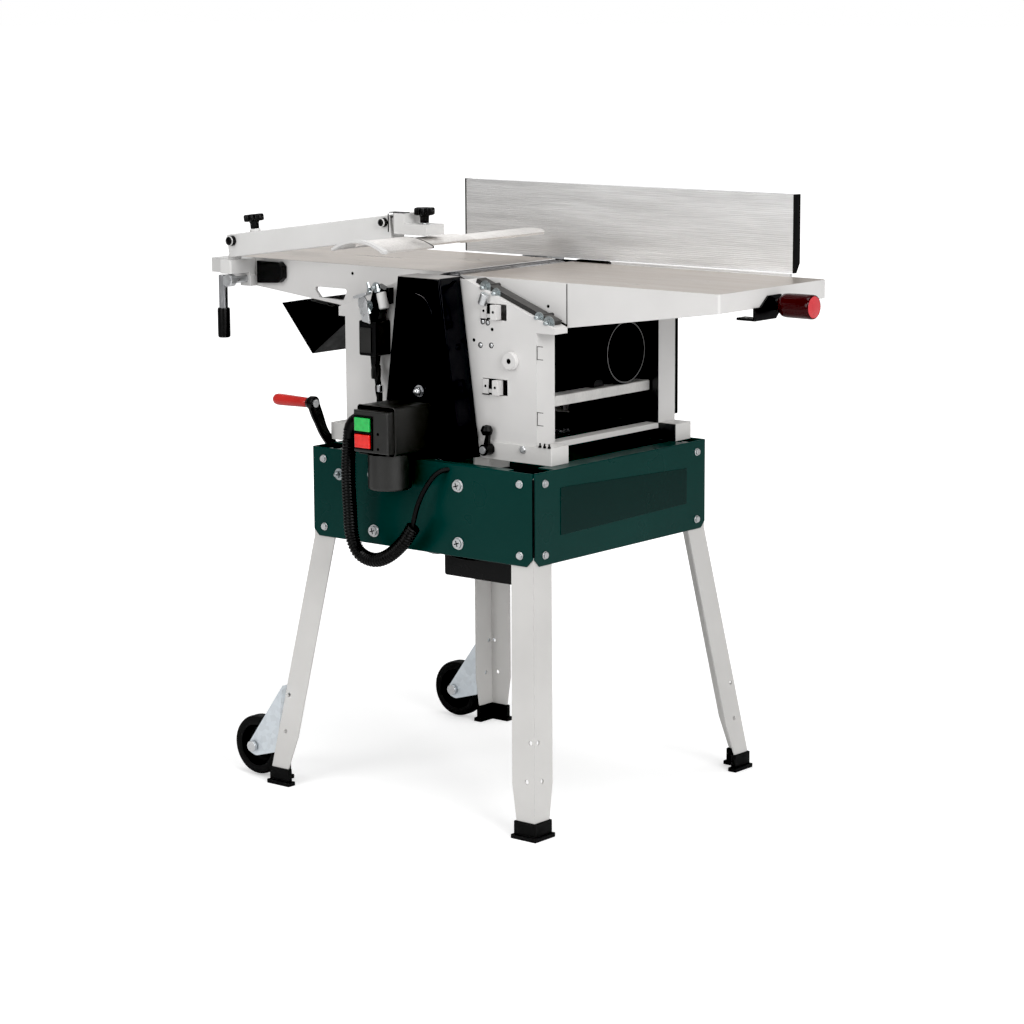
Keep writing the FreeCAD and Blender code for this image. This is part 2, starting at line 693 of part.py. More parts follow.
def side_panel(side):
    """Pressed panel: outer plate with sloped guide flanges, end posts and an inner wall."""
    outer, inner = wall_band(side)
    sy = SIDES[side]
    skin = 3
    body = new_body(f"side_panel_{side}")
    right_foot = S.slope_start + S.slope_reach
    left_top = S.slope_mirror * 2 - S.slope_start
    left_foot_z = slope_z(S.slope_mirror * 2 - S.ledge_left)
    outline = [(S.panel_left, RAIL_TOP), (S.panel_right, RAIL_TOP), (S.panel_right, S.post_top),
               (right_foot, S.post_top), (right_foot, slope_z(right_foot)),
               (S.slope_start, S.slope_top), (left_top, S.slope_top),
               (S.ledge_left, left_foot_z), (S.ledge_left, S.post_top), (S.panel_left, S.post_top)]
    plate_low, plate_high = ordered(outer, outer - skin * sy)
    pad(body, "xz", plate_low, plate_high, [outline])
    flange_low, flange_high = ordered(outer, outer - 33 * sy)
    drop = skin
    right_flange = [(S.slope_start, S.slope_top), (right_foot, slope_z(right_foot)),
                    (right_foot, S.post_top), (S.panel_right - skin, S.post_top),
                    (S.panel_right - skin, S.post_top + drop), (right_foot - 12, S.post_top + drop),
                    (S.slope_start, S.slope_top - drop)]
    left_flange = [(left_top, S.slope_top), (left_top, S.slope_top - drop),
                   (S.ledge_left + 10, left_foot_z - drop), (S.ledge_left + 10, S.post_top + drop),
                   (S.panel_left + skin, S.post_top + drop), (S.panel_left + skin, S.post_top),
                   (S.ledge_left, S.post_top), (S.ledge_left, left_foot_z)]
    pad(body, "xz", flange_low, flange_high, [right_flange])
    pad(body, "xz", flange_low, flange_high, [left_flange])
    post_low, post_high = ordered(outer, inner)
    for left, right in ((S.panel_right - skin, S.panel_right), (S.panel_left, S.panel_left + skin)):
        pad(body, "xy", RAIL_TOP, S.post_top, [box_loop(left, right, post_low, post_high)])
    wall_low, wall_high = ordered(inner, inner + skin * sy)
    crown = 824
    wall = [(S.panel_left, RAIL_TOP), (S.panel_right, RAIL_TOP), (S.panel_right, S.post_top),
            (S.slope_start + 25, crown - 12), (S.slope_start, crown), (left_top, crown),
            (left_top - 25, crown - 12), (S.panel_left, S.post_top)]
    pad(body, "xz", wall_low, wall_high, [wall])
    shelf_z = 742
    pad(body, "xy", shelf_z, shelf_z + 6,
        [box_loop(S.screw_x - 22, S.screw_x + 22, *ordered(outer - 1 * sy, inner + 1 * sy))])
    slot = box_loop(S.screw_x - 21, S.screw_x + 21, RAIL_TOP + 1, S.bed_top + 6)
    cut(body, "xz", wall_low, wall_high, [slot])
    screw_y = S.screw_front if side == "front" else S.screw_rear
    cut(body, "xy", shelf_z, shelf_z + 6, circles=[(S.screw_x, screw_y, S.screw_radius + S.running)])
    bores = [(S.cutter_x, CUTTER_Z, S.bearing_radius)]
    for roller_x in (S.cutter_x - S.roller_offset, S.cutter_x + S.roller_offset):
        bores.append((roller_x, S.roller_z, ROLLER_JOURNAL + S.running))
    cut(body, "xz", wall_low, wall_high, circles=bores)
    cut(body, "xz", plate_low, plate_high, circles=[(S.cutter_x, CUTTER_Z, 18)])
    windows = [box_loop(64, 116, 772, 797), box_loop(67, 117, 655, 680)]
    cut(body, "xz", plate_low, plate_high, windows)
    boss_low, boss_high = ordered(outer, outer + 7 * sy)
    pad(body, "xz", boss_low, boss_high, circles=[(126, 711, 13)])
    cut(body, "xz", *ordered(outer + 8 * sy, outer - 4 * sy), circles=[(126, 711, 4)])


# ---------------------------------------------------------------- cutter, feed and motor

def cutter_block():
    """Round cutter block with two chip slots and stepped journals."""
    body = new_body("cutter_block", at=(S.cutter_x, 0, CUTTER_Z))
    clear = 2
    pad(body, "xz", S.inner_front + clear, S.inner_rear - clear, circles=[(0, 0, S.cutter_radius)])
    pad(body, "xz", S.belt_y - 14, S.inner_rear + 30, circles=[(0, 0, S.journal_radius)])
    slot = cut(body, "xz", S.inner_front, S.inner_rear - clear,
               [box_loop(-9, 9, S.cutter_radius - 15, S.cutter_radius + 5)])
    spin(body, slot, "Y_Axis", 2)


def planer_knives():
    """Two knives with their wedges, one in each slot of the block."""
    parts = []
    length = (S.inner_front + 4, S.inner_rear - 4)
    for number, sign in enumerate((1, -1), start=1):
        root, edge = ordered((S.cutter_radius - 14.5) * sign, (S.cutter_radius + S.knife_reach - 0.4) * sign)
        wedge_edge = (S.cutter_radius - 4) * sign
        knife = block(f"knife_{number}", ordered(S.cutter_x + 5.5 * sign, S.cutter_x + 8.5 * sign), length,
                      (CUTTER_Z + root, CUTTER_Z + edge))
        low, high = ordered((S.cutter_radius - 14.5) * sign, wedge_edge)
        wedge = block(f"wedge_{number}", ordered(S.cutter_x - 8.5 * sign, S.cutter_x + 5.5 * sign), length,
                      (CUTTER_Z + low, CUTTER_Z + high))
        parts += [knife, wedge]
    group("planer_knives", parts)


def cutter_bearings():
    """Ball bearing outlines seated in the inner walls."""
    rings = []
    for side, sy in SIDES.items():
        _, inner = wall_band(side)
        near, far = ordered(inner, inner + 12 * sy)
        at = (S.cutter_x, CUTTER_Z)
        outer = rod(f"bearing_{side}_outer", "y", at, S.bearing_radius, near, far)
        bore = rod(f"bearing_{side}_bore", "y", at, S.journal_radius + S.running, near - 1, far + 1)
        rings.append(take(f"bearing_{side}", outer, bore))
    group("cutter_bearings", rings)


def ribbed_pulley(name, at, radius, bore):
    """Pulley with three belt grooves and a flange each side."""
    body = new_body(name, at=at)
    half = S.belt_width / 2 + 2
    pad(body, "xz", -half, half, circles=[(0, 0, radius + 2.5), (0, 0, bore)])
    groove = body.newObject("PartDesign::Groove", name + "_tread")
    tread = new_sketch(body, "xy", 0, [box_loop(radius, radius + 4, -half + 1.8, half - 1.8)])
    groove.Profile = tread
    groove.ReferenceAxis = (tread, ["V_Axis"])
    groove.Angle = 360


def drive_belt():
    """Flat closed belt round both pulleys."""
    small, large = S.pulley_radius + S.running, S.motor_pulley_radius + S.running
    thick = 4
    half = S.belt_width / 2 - 2
    near, far = S.belt_y - half, S.belt_y + half
    centre_a = Vector(S.cutter_x.number, 0, CUTTER_Z.number)
    centre_b = Vector(S.motor_x.number, 0, S.motor_z.number)

    def hull(extra, name):
        """Two discs joined by their outer tangents, as one closed face, then extruded."""
        r_a, r_b = small.number + extra, large.number + extra
        along = centre_b - centre_a
        span = along.Length
        along.normalize()
        across = Vector(-along.z, 0, along.x)
        tilt = (r_a - r_b) / span
        rise = math.sqrt(1 - tilt * tilt)
        ends = []
        for centre, radius in ((centre_a, r_a), (centre_b, r_b)):
            ends.append([centre + (along * tilt + across * rise * sign) * radius for sign in (1, -1)])
        top = Part.Arc(ends[0][0], centre_a - along * r_a, ends[0][1]).toShape()
        low = Part.Arc(ends[1][1], centre_b + along * r_b, ends[1][0]).toShape()
        sides = [Part.makeLine(ends[0][1], ends[1][1]), Part.makeLine(ends[1][0], ends[0][0])]
        wire = Part.Wire(Part.__sortEdges__([top, sides[0], low, sides[1]]))
        wire.translate(Vector(0, near.number, 0))
        return Part.Face(wire).extrude(Vector(0, (far - near).number, 0))

    belt = doc.addObject("Part::Feature", "drive_belt")
    belt.Label = "drive_belt"
    belt.Shape = hull(thick, "outer").cut(hull(0, "inner"))
    place(belt)


def motor_housing():
    """Finned motor with a terminal box low at its side, on a plate with two arms to the front skirt."""
    body = new_body("motor_housing", at=(S.motor_x, 0, S.motor_z))
    half, near, far = 50, -158, 60
    pad(body, "xz", near, far, [box_loop(-half - 8, half + 8, -half, half)])
    round_edges(body, 16, lambda edge: is_along(edge, "y"))
    cavity = 40
    cut(body, "xz", near, far - 20, circles=[(0, 0, cavity)])
    fin_gap = 3
    groove = cut(body, "xz", near + 30, far - 30, [box_loop(-half + 14, -half + 14 + fin_gap, half - 6, half)])
    repeat(body, groove, "X_Axis", 2 * half - 30, 8)
    plate, arm_half = 5, 9
    column = MOTOR_SCREW_PITCH / 2
    reach = column + arm_half
    low, high = -31, 79
    skirt_back = -(HALF_WIDTH - S.sheet)
    pad(body, "xz", near - plate, near, [box_loop(-reach, reach, low, high)])
    cut(body, "xz", near - plate, near, circles=[(0, 0, cavity)])
    pad(body, "xz", skirt_back, near - plate, [box_loop(x - arm_half, x + arm_half, low, high)
                                               for x in (-column, column)])
    cut(body, "xz", skirt_back, skirt_back + 14,
        circles=[(x, z - S.motor_z, MOTOR_SCREW_HOLE) for x in (-column, column) for z in MOTOR_SCREW_ROWS])
    box_low, box_high = -91, -45
    pad(body, "xz", near, near + 68, [box_loop(3, 158, box_low, box_high)])
    round_edges(body, 4, lambda edge: is_along(edge, "y") and abs(edge.CenterOfMass.z - box_low) < 1)


def motor_rotor():
    """Rotor core and shaft, with the large pulley at its front end."""
    body = new_body("motor_rotor", at=(S.motor_x, 0, S.motor_z))
    pad(body, "xz", -120, 20, circles=[(0, 0, 36)])
    pad(body, "xz", S.belt_y - 10, -120, circles=[(0, 0, 12)])
    half = S.belt_width / 2 + 2
    pad(body, "xz", S.belt_y - half, S.belt_y + half, circles=[(0, 0, S.motor_pulley_radius + 2.5)])
    cut(body, "xz", S.belt_y - half + 1.8, S.belt_y + half - 1.8,
        circles=[(0, 0, S.motor_pulley_radius + 4), (0, 0, S.motor_pulley_radius)])


def feed_roller(name, x):
    """Grooved feed roller with a journal and a drive sprocket at its rear end."""
    body = new_body(name, at=(x, 0, S.roller_z))
    clear = 2.5
    pad(body, "xz", S.inner_front + clear, S.inner_rear - clear, circles=[(0, 0, S.roller_radius)])
    pad(body, "xz", S.inner_front - 18, S.inner_rear + 30, circles=[(0, 0, ROLLER_JOURNAL)])
    pad(body, "xz", S.inner_rear + 18, S.inner_rear + 23, circles=[(0, 0, 20)])
    flute = cut(body, "xz", S.inner_front + clear + 6, S.inner_rear - clear - 6,
                [box_loop(-0.8, 0.8, S.roller_radius - 1, S.roller_radius + 2)])
    spin(body, flute, "Y_Axis", 16)


def kickback_pawls():
    """Row of pawls hanging on their rod, joined by a hinge sleeve so that they swing as one."""
    body = new_body("kickback_pawls", at=(PAWL_X, 0, PAWL_Z))
    bore = PAWL_ROD + S.running
    start, width, pitch, count = S.inner_front + 6, 9, 13, 19
    sleeve_end = start + pitch * (count - 1) + width
    pad(body, "xz", start, sleeve_end, circles=[(0, 0, PAWL_ROD + 3), (0, 0, bore)])
    tooth = [(-5, -6.5), (6, -5.5), (14, -24), (7, -26)]
    pawl = pad(body, "xz", start, start + width, [tooth])
    repeat(body, pawl, "Y_Axis", pitch * (count - 1), count)


# ---------------------------------------------------------------- tables

def lip(side_sign, top):
    """Bevelled table lip beside the cutter: x steps away from the cutter as it goes down."""
    lip_x = S.cutter_x + S.lip_gap * side_sign
    return [(lip_x, top), (lip_x, top - 1.5), (lip_x + 13 * side_sign, top - S.plate)]


def outfeed_table():
    """Cast outfeed table with a deep tapering skirt and a window in its near side."""
    body = new_body("outfeed_table")
    top = S.outfeed_top
    plate = lip(-1, top) + [(S.outfeed_end, top - S.plate), (S.outfeed_end, top)]
    pad(body, "xz", S.table_front, S.table_rear, [plate])
    taper = 0.106
    foot_x = S.ledge_left - 6
    foot_z = 767
    end_z = foot_z + (foot_x - S.outfeed_end) * taper
    rise_end = S.slope_mirror * 2 - S.slope_start - 18
    mirror = S.slope_mirror * 2
    skirt = [(S.outfeed_end, top), (S.outfeed_end, end_z), (foot_x, foot_z),
             (foot_x, slope_z(mirror - foot_x) + 1.5), (rise_end, slope_z(mirror - rise_end) + 1.5),
             (rise_end, top)]
    wall = S.skirt_wall
    pad(body, "xz", S.table_front, S.table_front + wall, [skirt])
    pad(body, "xz", S.table_rear - wall, S.table_rear, [skirt])
    pad(body, "yz", S.outfeed_end, S.outfeed_end + wall,
        [box_loop(S.table_front, S.table_rear, end_z, top)])
    window = [(-325, 796), (-248, 796), (-258, 777), (-310, 779)]
    cut(body, "xz", S.table_front, S.table_front + wall, [window])
    round_edges(body, 4, lambda edge: is_along(edge, "y") and abs(edge.CenterOfMass.z - 787) < 12
                and -330 < edge.CenterOfMass.x < -245)
    soften_table(body, S.outfeed_end)


def soften_table(body, end_x):
    """Rounds the outer upright corners at the table's free end."""
    near, far = S.table_front.number + 0.1, S.table_rear.number - 0.1
    round_edges(body, 4, lambda edge: is_along(edge, "z") and abs(edge.CenterOfMass.x - end_x.number) < 0.1
                and not near < edge.CenterOfMass.y < far)


def infeed_table():
    """Cast infeed table, carried on the slopes; its skirt has a seam beside the machine body."""
    body = new_body("infeed_table")
    top = S.infeed_top
    shift = S.depth_of_cut / SLOPE
    plate = [(x + shift, z) for x, z in lip(1, top)] + [(S.infeed_end, top - S.plate), (S.infeed_end, top)]
    pad(body, "xz", S.table_front, S.table_rear, [plate])
    seam_x = 205.5
    seam_z = 764
    end_z = 804.5
    start = S.slope_start + 8
    skirt = [(start, top), (start, slope_z(start) + 2), (seam_x, slope_z(seam_x) + 2),
             (seam_x, seam_z), (S.infeed_end, end_z), (S.infeed_end, top)]
    wall = S.skirt_wall
    pad(body, "xz", S.table_front, S.table_front + wall, [skirt])
    pad(body, "xz", S.table_rear - wall, S.table_rear, [skirt])
    pad(body, "yz", S.infeed_end - wall, S.infeed_end,
        [box_loop(S.table_front, S.table_rear, end_z, top)])
    cut(body, "xz", S.table_front, S.table_front + 1, [box_loop(seam_x, seam_x + 1.2, seam_z, top)])
    cut(body, "yz", S.infeed_end - wall, S.infeed_end, circles=[(KNOB_Y, KNOB_Z, 7)])
    soften_table(body, S.infeed_end)


def incline_bars():
    """Dark bars bolted to the infeed table that slide on the panels' slopes."""
    bars = []
    start, end = 48, 200
    gap, thick = 0.3, 7
    for side, sy in SIDES.items():
        outer, _ = wall_band(side)
        table_edge = S.table_front if side == "front" else S.table_rear
        low, high = ordered(outer - 8 * sy, outer - 29 * sy)
        strip = doc.addObject("Part::Box", f"bar_{side}_strip")
        length = dim(end - start) / cosine(S.slope_angle)
        strip.setExpression("Length", length.formula)
        strip.setExpression("Width", (high - low).formula)
        strip.setExpression("Height", dim(thick).formula)
        strip.Placement = FreeCAD.Placement(Vector(), FreeCAD.Rotation(AXES["y"], S.slope_angle.number))
        strip.setExpression("Placement.Rotation.Angle", S.slope_angle.formula)
        strip.setExpression("Placement.Base.x", dim(start).formula)
        strip.setExpression("Placement.Base.y", low.formula)
        strip.setExpression("Placement.Base.z", (slope_z(start) + gap).formula)
        studs = []
        for number, x in enumerate((start + 22, start + 128), start=1):
            reach = ordered(outer - 10 * sy, table_edge)
            studs.append(rod(f"bar_{side}_stud_{number}", "y", (x + 2.5, slope_z(x) + gap + 4.2), 3.2, *reach))
        bars.append(join(f"bar_{side}", [strip] + studs))
    group("incline_bars", bars)


def knob_bracket():
    """Bent steel plate on the infeed table's end that carries the depth knob's shaft."""
    body = new_body("knob_bracket")
    face = S.infeed_end
    outline = [(-26, 786), (30, 786), (44, 800), (44, 822), (10, 822), (-10, 806), (-26, 806)]
    pad(body, "yz", face, face + 4, [outline], [(KNOB_Y, KNOB_Z, KNOB_SHAFT + S.running)])
    pad(body, "xy", 786, 790, [box_loop(face - 30, face + 4, -26, -4)])


def depth_knob():
    """Red fluted knob with its shaft."""
    body = new_body("depth_knob", at=(0, KNOB_Y, KNOB_Z))
    inner, outer = S.infeed_end + 15, dim(568)
    pad(body, "yz", inner, outer, circles=[(0, 0, 18.5)])
    round_edges(body, 4, lambda edge: edge.CenterOfMass.x > 560)
    pad(body, "yz", S.infeed_end - 40, inner, circles=[(0, 0, KNOB_SHAFT)])
    flute = cut(body, "yz", inner + 6, outer - 10, circles=[(0, 21.4, 1.6)])
    spin(body, flute, "X_Axis", 24)


def thickness_table():
    """Thicknessing bed with ribs under it and two nut lugs reaching into the side panels."""
    body = new_body("thickness_table")
    bottom = S.bed_top - S.bed_plate
    pad(body, "xy", bottom, S.bed_top, [box_loop(S.bed_left, S.bed_right, S.bed_front, S.bed_rear)])
    lug = 19
    for edge, end in ((S.bed_front, S.screw_front - 15), (S.bed_rear, S.screw_rear + 15)):
        pad(body, "xy", bottom - 8, S.bed_top,
            [box_loop(S.screw_x - lug, S.screw_x + lug, *ordered(edge, end))])
    rib = 8
    pad(body, "xy", bottom - 8, bottom, [box_loop(S.screw_x - lug, S.screw_x + lug, S.bed_front, S.bed_rear)])
    for left in (S.bed_left + 10, S.bed_right - 60):
        pad(body, "xy", bottom - 8, bottom, [box_loop(left, left + rib, S.bed_front + 10, S.bed_rear - 10)])
    bore = S.screw_radius + S.running
    cut(body, "xy", bottom - 8, S.bed_top,
        circles=[(S.screw_x, S.screw_front, bore), (S.screw_x, S.screw_rear, bore)])
    round_edges(body, 2, lambda edge: is_along(edge, "y")
                and abs(edge.CenterOfMass.x - S.bed_right.number) < 0.1)


def lift_screw(side):
    """Lift screw with its chain sprocket; the front one also has a bevel gear below."""
    y = S.screw_front if side == "front" else S.screw_rear
    body = new_body(f"lift_screw_{side}", at=(S.screw_x, y, 0))
    bottom = S.crank_z + 12 if side == "front" else S.chain_z - 6
    pad(body, "xy", bottom, 746, circles=[(0, 0, S.screw_radius)])
    pad(body, "xy", S.chain_z - 2, S.chain_z + 2, circles=[(0, 0, SPROCKET)])
    thread = cut(body, "xy", S.bed_top + 10, S.bed_top + 12,
                 circles=[(0, 0, S.screw_radius + 1), (0, 0, S.screw_radius - 1)])
    repeat(body, thread, "Z_Axis", 72, 19)
    if side == "front":
        gear = [(0, S.crank_z + 8), (6, S.crank_z + 8), (14, S.crank_z + 17), (14, S.crank_z + 20),
                (0, S.crank_z + 20)]
        revolve(body, "xz", gear)


def lift_chain():
    """Closed chain loop round both sprockets."""
    body = new_body("lift_chain", at=(S.screw_x, 0, S.chain_z))
    inner = SPROCKET + S.running
    outer = inner + 5
    half = 2.5
    near, far = S.screw_front, S.screw_rear
    for shape, radius in ((pad, outer), (cut, inner)):
        shape(body, "xy", -half, half, [box_loop(-radius, radius, near, far)])
        shape(body, "xy", -half, half, circles=[(0, near, radius)])
        shape(body, "xy", -half, half, circles=[(0, far, radius)])


def crank_arm():
    """Curved crank arm with its shaft, bevel gear and the pin for the grip."""
    body = new_body("crank_arm", at=(0, S.screw_front, S.crank_z))
    left = S.crank_face - CRANK_ARM
    top_y, top_z = CRANK_REACH_Y, CRANK_REACH_Z
    arm = [(-4, -9), (8, -4), (6, 12), (-22, 26), (-38, 44), (-46, 70), (top_y + 10, top_z + 4),
           (top_y - 2, top_z + 10), (top_y - 9, top_z + 2), (top_y - 4, 66), (-53, 38), (-36, 16)]
    pad(body, "yz", left, S.crank_face, [arm])
    round_edges(body, 5, lambda edge: is_along(edge, "x"))
    pad(body, "yz", left, S.crank_face + 6, circles=[(0, 0, 13)])
    pad(body, "yz", S.crank_face, S.screw_x - 14, circles=[(0, 0, 5)])
    pad(body, "yz", left - 76, left, circles=[(top_y, top_z, CRANK_PIN)])
    pad(body, "yz", left, S.crank_face + 1, circles=[(top_y, top_z, 10)])
    gear_back, gear_tip = S.screw_x - 22, S.screw_x - 9
    gear = [(gear_back, 0), (gear_back, 13), (gear_back + 3, 13), (gear_tip, 5), (gear_tip, 0)]
    revolve(body, "xz", gear, "H_Axis")


def crank_grip():
    """Tapered grip that spins on the crank's pin."""
    left = S.crank_face - CRANK_ARM
    body = new_body("crank_grip", at=(left, S.screw_front + CRANK_REACH_Y, S.crank_z + CRANK_REACH_Z))
    bore = CRANK_PIN + S.running
    outline = [(-1, bore), (-1, 8), (-20, 8.6), (-64, 9.6), (-72, 8), (-75.5, bore + 1), (-75.5, bore)]
    revolve(body, "xz", outline, "H_Axis")


# ---------------------------------------------------------------- chip hood and covers

def chip_hood():
    """Open-topped chip trough with a V-shaped tail and a round extraction port."""
    body = new_body("chip_hood")
    wall = 3
    floor = S.bed_top + 0.5
    top = 766
    ring = 24
    end = S.bed_right - ring + 2
    outline = [(end, floor), (end, top), (-273, top), (-273, 748), (-297, 762),
               (-360, 771), (-413, 762), (-345, 681.5), (-273, 735), (-225, floor + 60), (-205, floor)]
    pad(body, "xz", S.hood_front, S.hood_rear, [outline])
    hollow = [(end - wall, floor + wall), (end - wall, top + 1), (-215, top + 1),
              (-215, floor + 60), (-200, floor + wall)]
    cut(body, "xz", S.hood_front + wall, S.hood_rear - wall, [hollow])
    pad(body, "yz", end, end + ring, circles=[(S.port_y, S.port_z, S.port_radius)])
    cut(body, "yz", end - wall, end + ring, circles=[(S.port_y, S.port_z, S.port_radius - wall)])


def cover_profile(inset, bottom):
    """Trapezoid of the belt cover, drawn in by an inset."""
    top = 836
    low = 556
    spread = 0.138
    drop = top - low
    left_top, right_top = -62, 25
    return [(left_top + inset, top - inset), (left_top - drop * spread + inset, low + bottom),
            (right_top + drop * spread - inset, low + bottom), (right_top - inset, top - inset)]


def belt_cover():
    """Tapered belt cover with rounded front edges, open at the back and below."""
    body = new_body("belt_cover")
    back = S.front_face - 3
    pad(body, "xz", S.cover_front, back, [cover_profile(0, 0)])
    front = S.cover_front.number
    round_edges(body, 4, lambda edge: abs(edge.CenterOfMass.y - front) < 0.1 and edge.CenterOfMass.z > 600)
    cut(body, "xz", S.cover_front + 3, back, [cover_profile(3, -1)])
    cut(body, "xz", S.cover_front, S.cover_front + 3, circles=[(-17, 658.5, 4)])


def rear_cover():
    """Cover over the feed drive on the rear side panel."""
    body = new_body("rear_cover")
    outer = S.rear_face + 20
    skin = 3
    shell = [(-150, 590), (168, 590), (168, 752), (70, 800), (-120, 812), (-150, 790)]
    hollow = [(-147, 593), (165, 593), (165, 750), (69, 797), (-119, 809), (-147, 788)]
    pad(body, "xz", S.rear_face, outer, [shell])
    back = outer.number
    round_edges(body, 4, lambda edge: abs(edge.CenterOfMass.y - back) < 0.1)
    cut(body, "xz", S.rear_face, outer - skin, [hollow])


def switch_box():
    """Switch enclosure with a raised button plate and the round shroud under it."""
    body = new_body("switch_box")
    front = S.switch_front
    left, right, low, high = -70, 6, 566, 642
    pad(body, "xz", front + 14, S.cover_front, [box_loop(left, right, low, high)])
    round_edges(body, 5, lambda edge: is_along(edge, "y"))
    pad(body, "xz", front, front + 14, [box_loop(left + 3, right - 2, low + 4, high - 6)])
    rim = front.number
    round_edges(body, 3, lambda edge: abs(edge.CenterOfMass.y - rim) < 0.1)
    for low_z, high_z in BUTTON_ROWS:
        cut(body, "xz", front, front + 12,
            [box_loop(BUTTON_LEFT - 0.5, BUTTON_RIGHT + 0.5, low_z - 0.5, high_z + 0.5)])
    shroud_low, shroud_x, shroud_y, shroud_radius = 510, -30, -258, 34
    pad(body, "xy", shroud_low, low, circles=[(shroud_x, shroud_y, shroud_radius)])
    round_edges(body, 4, lambda edge: abs(edge.CenterOfMass.z - shroud_low) < 0.1)
    cut(body, "xy", shroud_low, shroud_low + 40, circles=[(shroud_x, shroud_y, shroud_radius - 5)])


def push_button(name, row):
    """Square push button, proud of the plate, with a stem into the enclosure."""
    low_z, high_z = BUTTON_ROWS[row]
    body = new_body(name)
    proud = 5
    front = S.switch_front
    pad(body, "xz", front - proud, front + 6, [box_loop(BUTTON_LEFT, BUTTON_RIGHT, low_z, high_z)])
    face = (front - proud).number
    round_edges(body, 1.5, lambda edge: abs(edge.CenterOfMass.y - face) < 0.1)


def interlock_switch():
    """Safety switch body on a bent bracket beside the belt cover."""
    body = new_body("interlock_switch")
    near, far = dim(-182), S.front_face
    pad(body, "xz", near, far, [box_loop(-160, -124, 702, 758)])
    round_edges(body, 3, lambda edge: is_along(edge, "y"))
    pad(body, "xz", near + 8, far - 8, [[(-152, 758), (-128, 758), (-112, 808), (-134, 816)]])
    pad(body, "xz", near + 12, far - 12, [[(-148, 702), (-134, 702), (-137, 682), (-146, 682)]])
    pad(body, "xy", 786, 812, circles=[(-108, -165, 6)])


def feed_lever():
    """Feed engaging lever with a ball on top, pivoting on the front base rail."""
    body = new_body("feed_lever", at=(LEVER_X, S.front_face - 11, LEVER_Z))
    pad(body, "xz", -8.9, 8.4, circles=[(0, 0, 9), (0, 0, LEVER_PIN + S.running)])
    pad(body, "xz", -4, 3, [[(-4, 6), (4, 6), (6, 26), (1, 26)]])
    ball = [(0, 22), (7, 23), (10, 30), (7, 37), (0, 39)]
    revolve(body, "xz", ball)


# ---------------------------------------------------------------- fence

def fence_profile():
    """Grooved aluminium extrusion."""
    body = new_body("fence_profile")
    face, back = S.fence_face, S.fence_face + S.fence_thick
    pad(body, "yz", S.fence_left, S.fence_right, [fence_section(0, 0)])
    pitch, count, deep, wide = 3, 40, 0.6, 1.0
    start = S.fence_bottom + 2.5
    groove = cut(body, "yz", S.fence_left, S.fence_right,
                 [[(face, start), (face + deep, start + wide * 0.2), (face + deep, start + wide * 0.8),
                   (face, start + wide)]])
    repeat(body, groove, "Z_Axis", pitch * (count - 1), count)
    wall = 3
    cut(body, "yz", S.fence_left, S.fence_right,
        [box_loop(face + wall, back - wall, S.fence_bottom + 18, S.fence_bottom + 56),
         box_loop(face + wall, back - wall, S.fence_bottom + 60, S.fence_top - wall)])


def fence_section(inset, bottom):
    """Outline of the fence across its length: upright face, bevelled at the foot of its back."""
    face, back = S.fence_face + inset, S.fence_face + S.fence_thick - inset
    low = S.fence_bottom + bottom
    bevel_wide, bevel_high = 9, 15
    return [(face, low), (back - bevel_wide, low), (back, low + bevel_high),
            (back, S.fence_top - inset), (face, S.fence_top - inset)]


def fence_cap(tag, low, thick):
    """Thin plastic cap, a little proud of the fence's outline."""
    body = doc.addObject("PartDesign::Body", tag)
    pad(body, "yz", low, low + thick, [fence_section(-0.4, 0)])
    return body


def fence_end_caps():
    """The two caps that close the fence's ends."""
    thick = 3
    group("fence_end_caps", [fence_cap("cap_right", S.fence_right, thick),
                             fence_cap("cap_left", S.fence_left - thick, thick)])


def fence_holder():
    """Fixed guide block behind the outfeed table; the fence's slide bar runs through it."""
    body = new_body("fence_holder")
    near, far = S.holder_near, S.holder_near + S.holder_deep
    link_low, link_high = 820, 832
    pad(body, "xz", near, far, [box_loop(-156, -104, link_low - 2, S.holder_top)])
    run = S.running
    bar_low = S.tilt_z + BAR_LOW
    cut(body, "xz", near, far, [box_loop(BAR_LEFT - run, BAR_RIGHT + run, bar_low - run, bar_low + BAR_THICK + run)])
    pad(body, "xz", S.table_rear, near, [box_loop(-150, -110, link_low, link_high)])


def fence_bar():
    """Slide bar with the tilt knuckle and its pin at the front end."""
    body = new_body("fence_bar", at=(0, S.tilt_y, S.tilt_z))
    top = BAR_LOW + BAR_THICK
    pad(body, "xz", 4, 314 - S.tilt_y, [box_loop(BAR_LEFT, BAR_RIGHT, BAR_LOW, top)])
    pad(body, "yz", BAR_LEFT, BAR_RIGHT, [[(-5, -8), (6, -8), (10, top), (3, top), (-5, 3)]])
    pad(body, "yz", -168, -92, circles=[(0, 0, TILT_PIN)])


def fence_bracket():
    """Tilting bracket: a plate screwed to the fence's back with an ear at each end."""
    body = new_body("fence_bracket", at=(0, S.tilt_y, S.tilt_z))
    back = S.fence_face + S.fence_thick - S.tilt_y
    plate = 5
    left, right = -170, -90
    pad(body, "xz", back, back + plate, [box_loop(left, right, 20, 84)])
    ear = [(back, 26), (back, 4), (-6, -8), (3, -8), (7, -3), (7, 4), (back + plate, 26)]
    for start in (-160, -110):
        pad(body, "yz", start, start + 10, [ear])
    cut(body, "yz", left, right, circles=[(0, 0, TILT_PIN + S.running)])


def fence_lever():
    """Clamp lever on top of the holder."""
    body = new_body("fence_lever", at=(-130, S.holder_near + S.holder_deep / 2, S.holder_top))
    pad(body, "xy", 0.1, 14, circles=[(0, 0, 9)])
    pad(body, "yz", -5, 5, [[(0, 5), (52, 16), (60, 22), (58, 28), (46, 24), (0, 14)]])


# ---------------------------------------------------------------- cutter guard

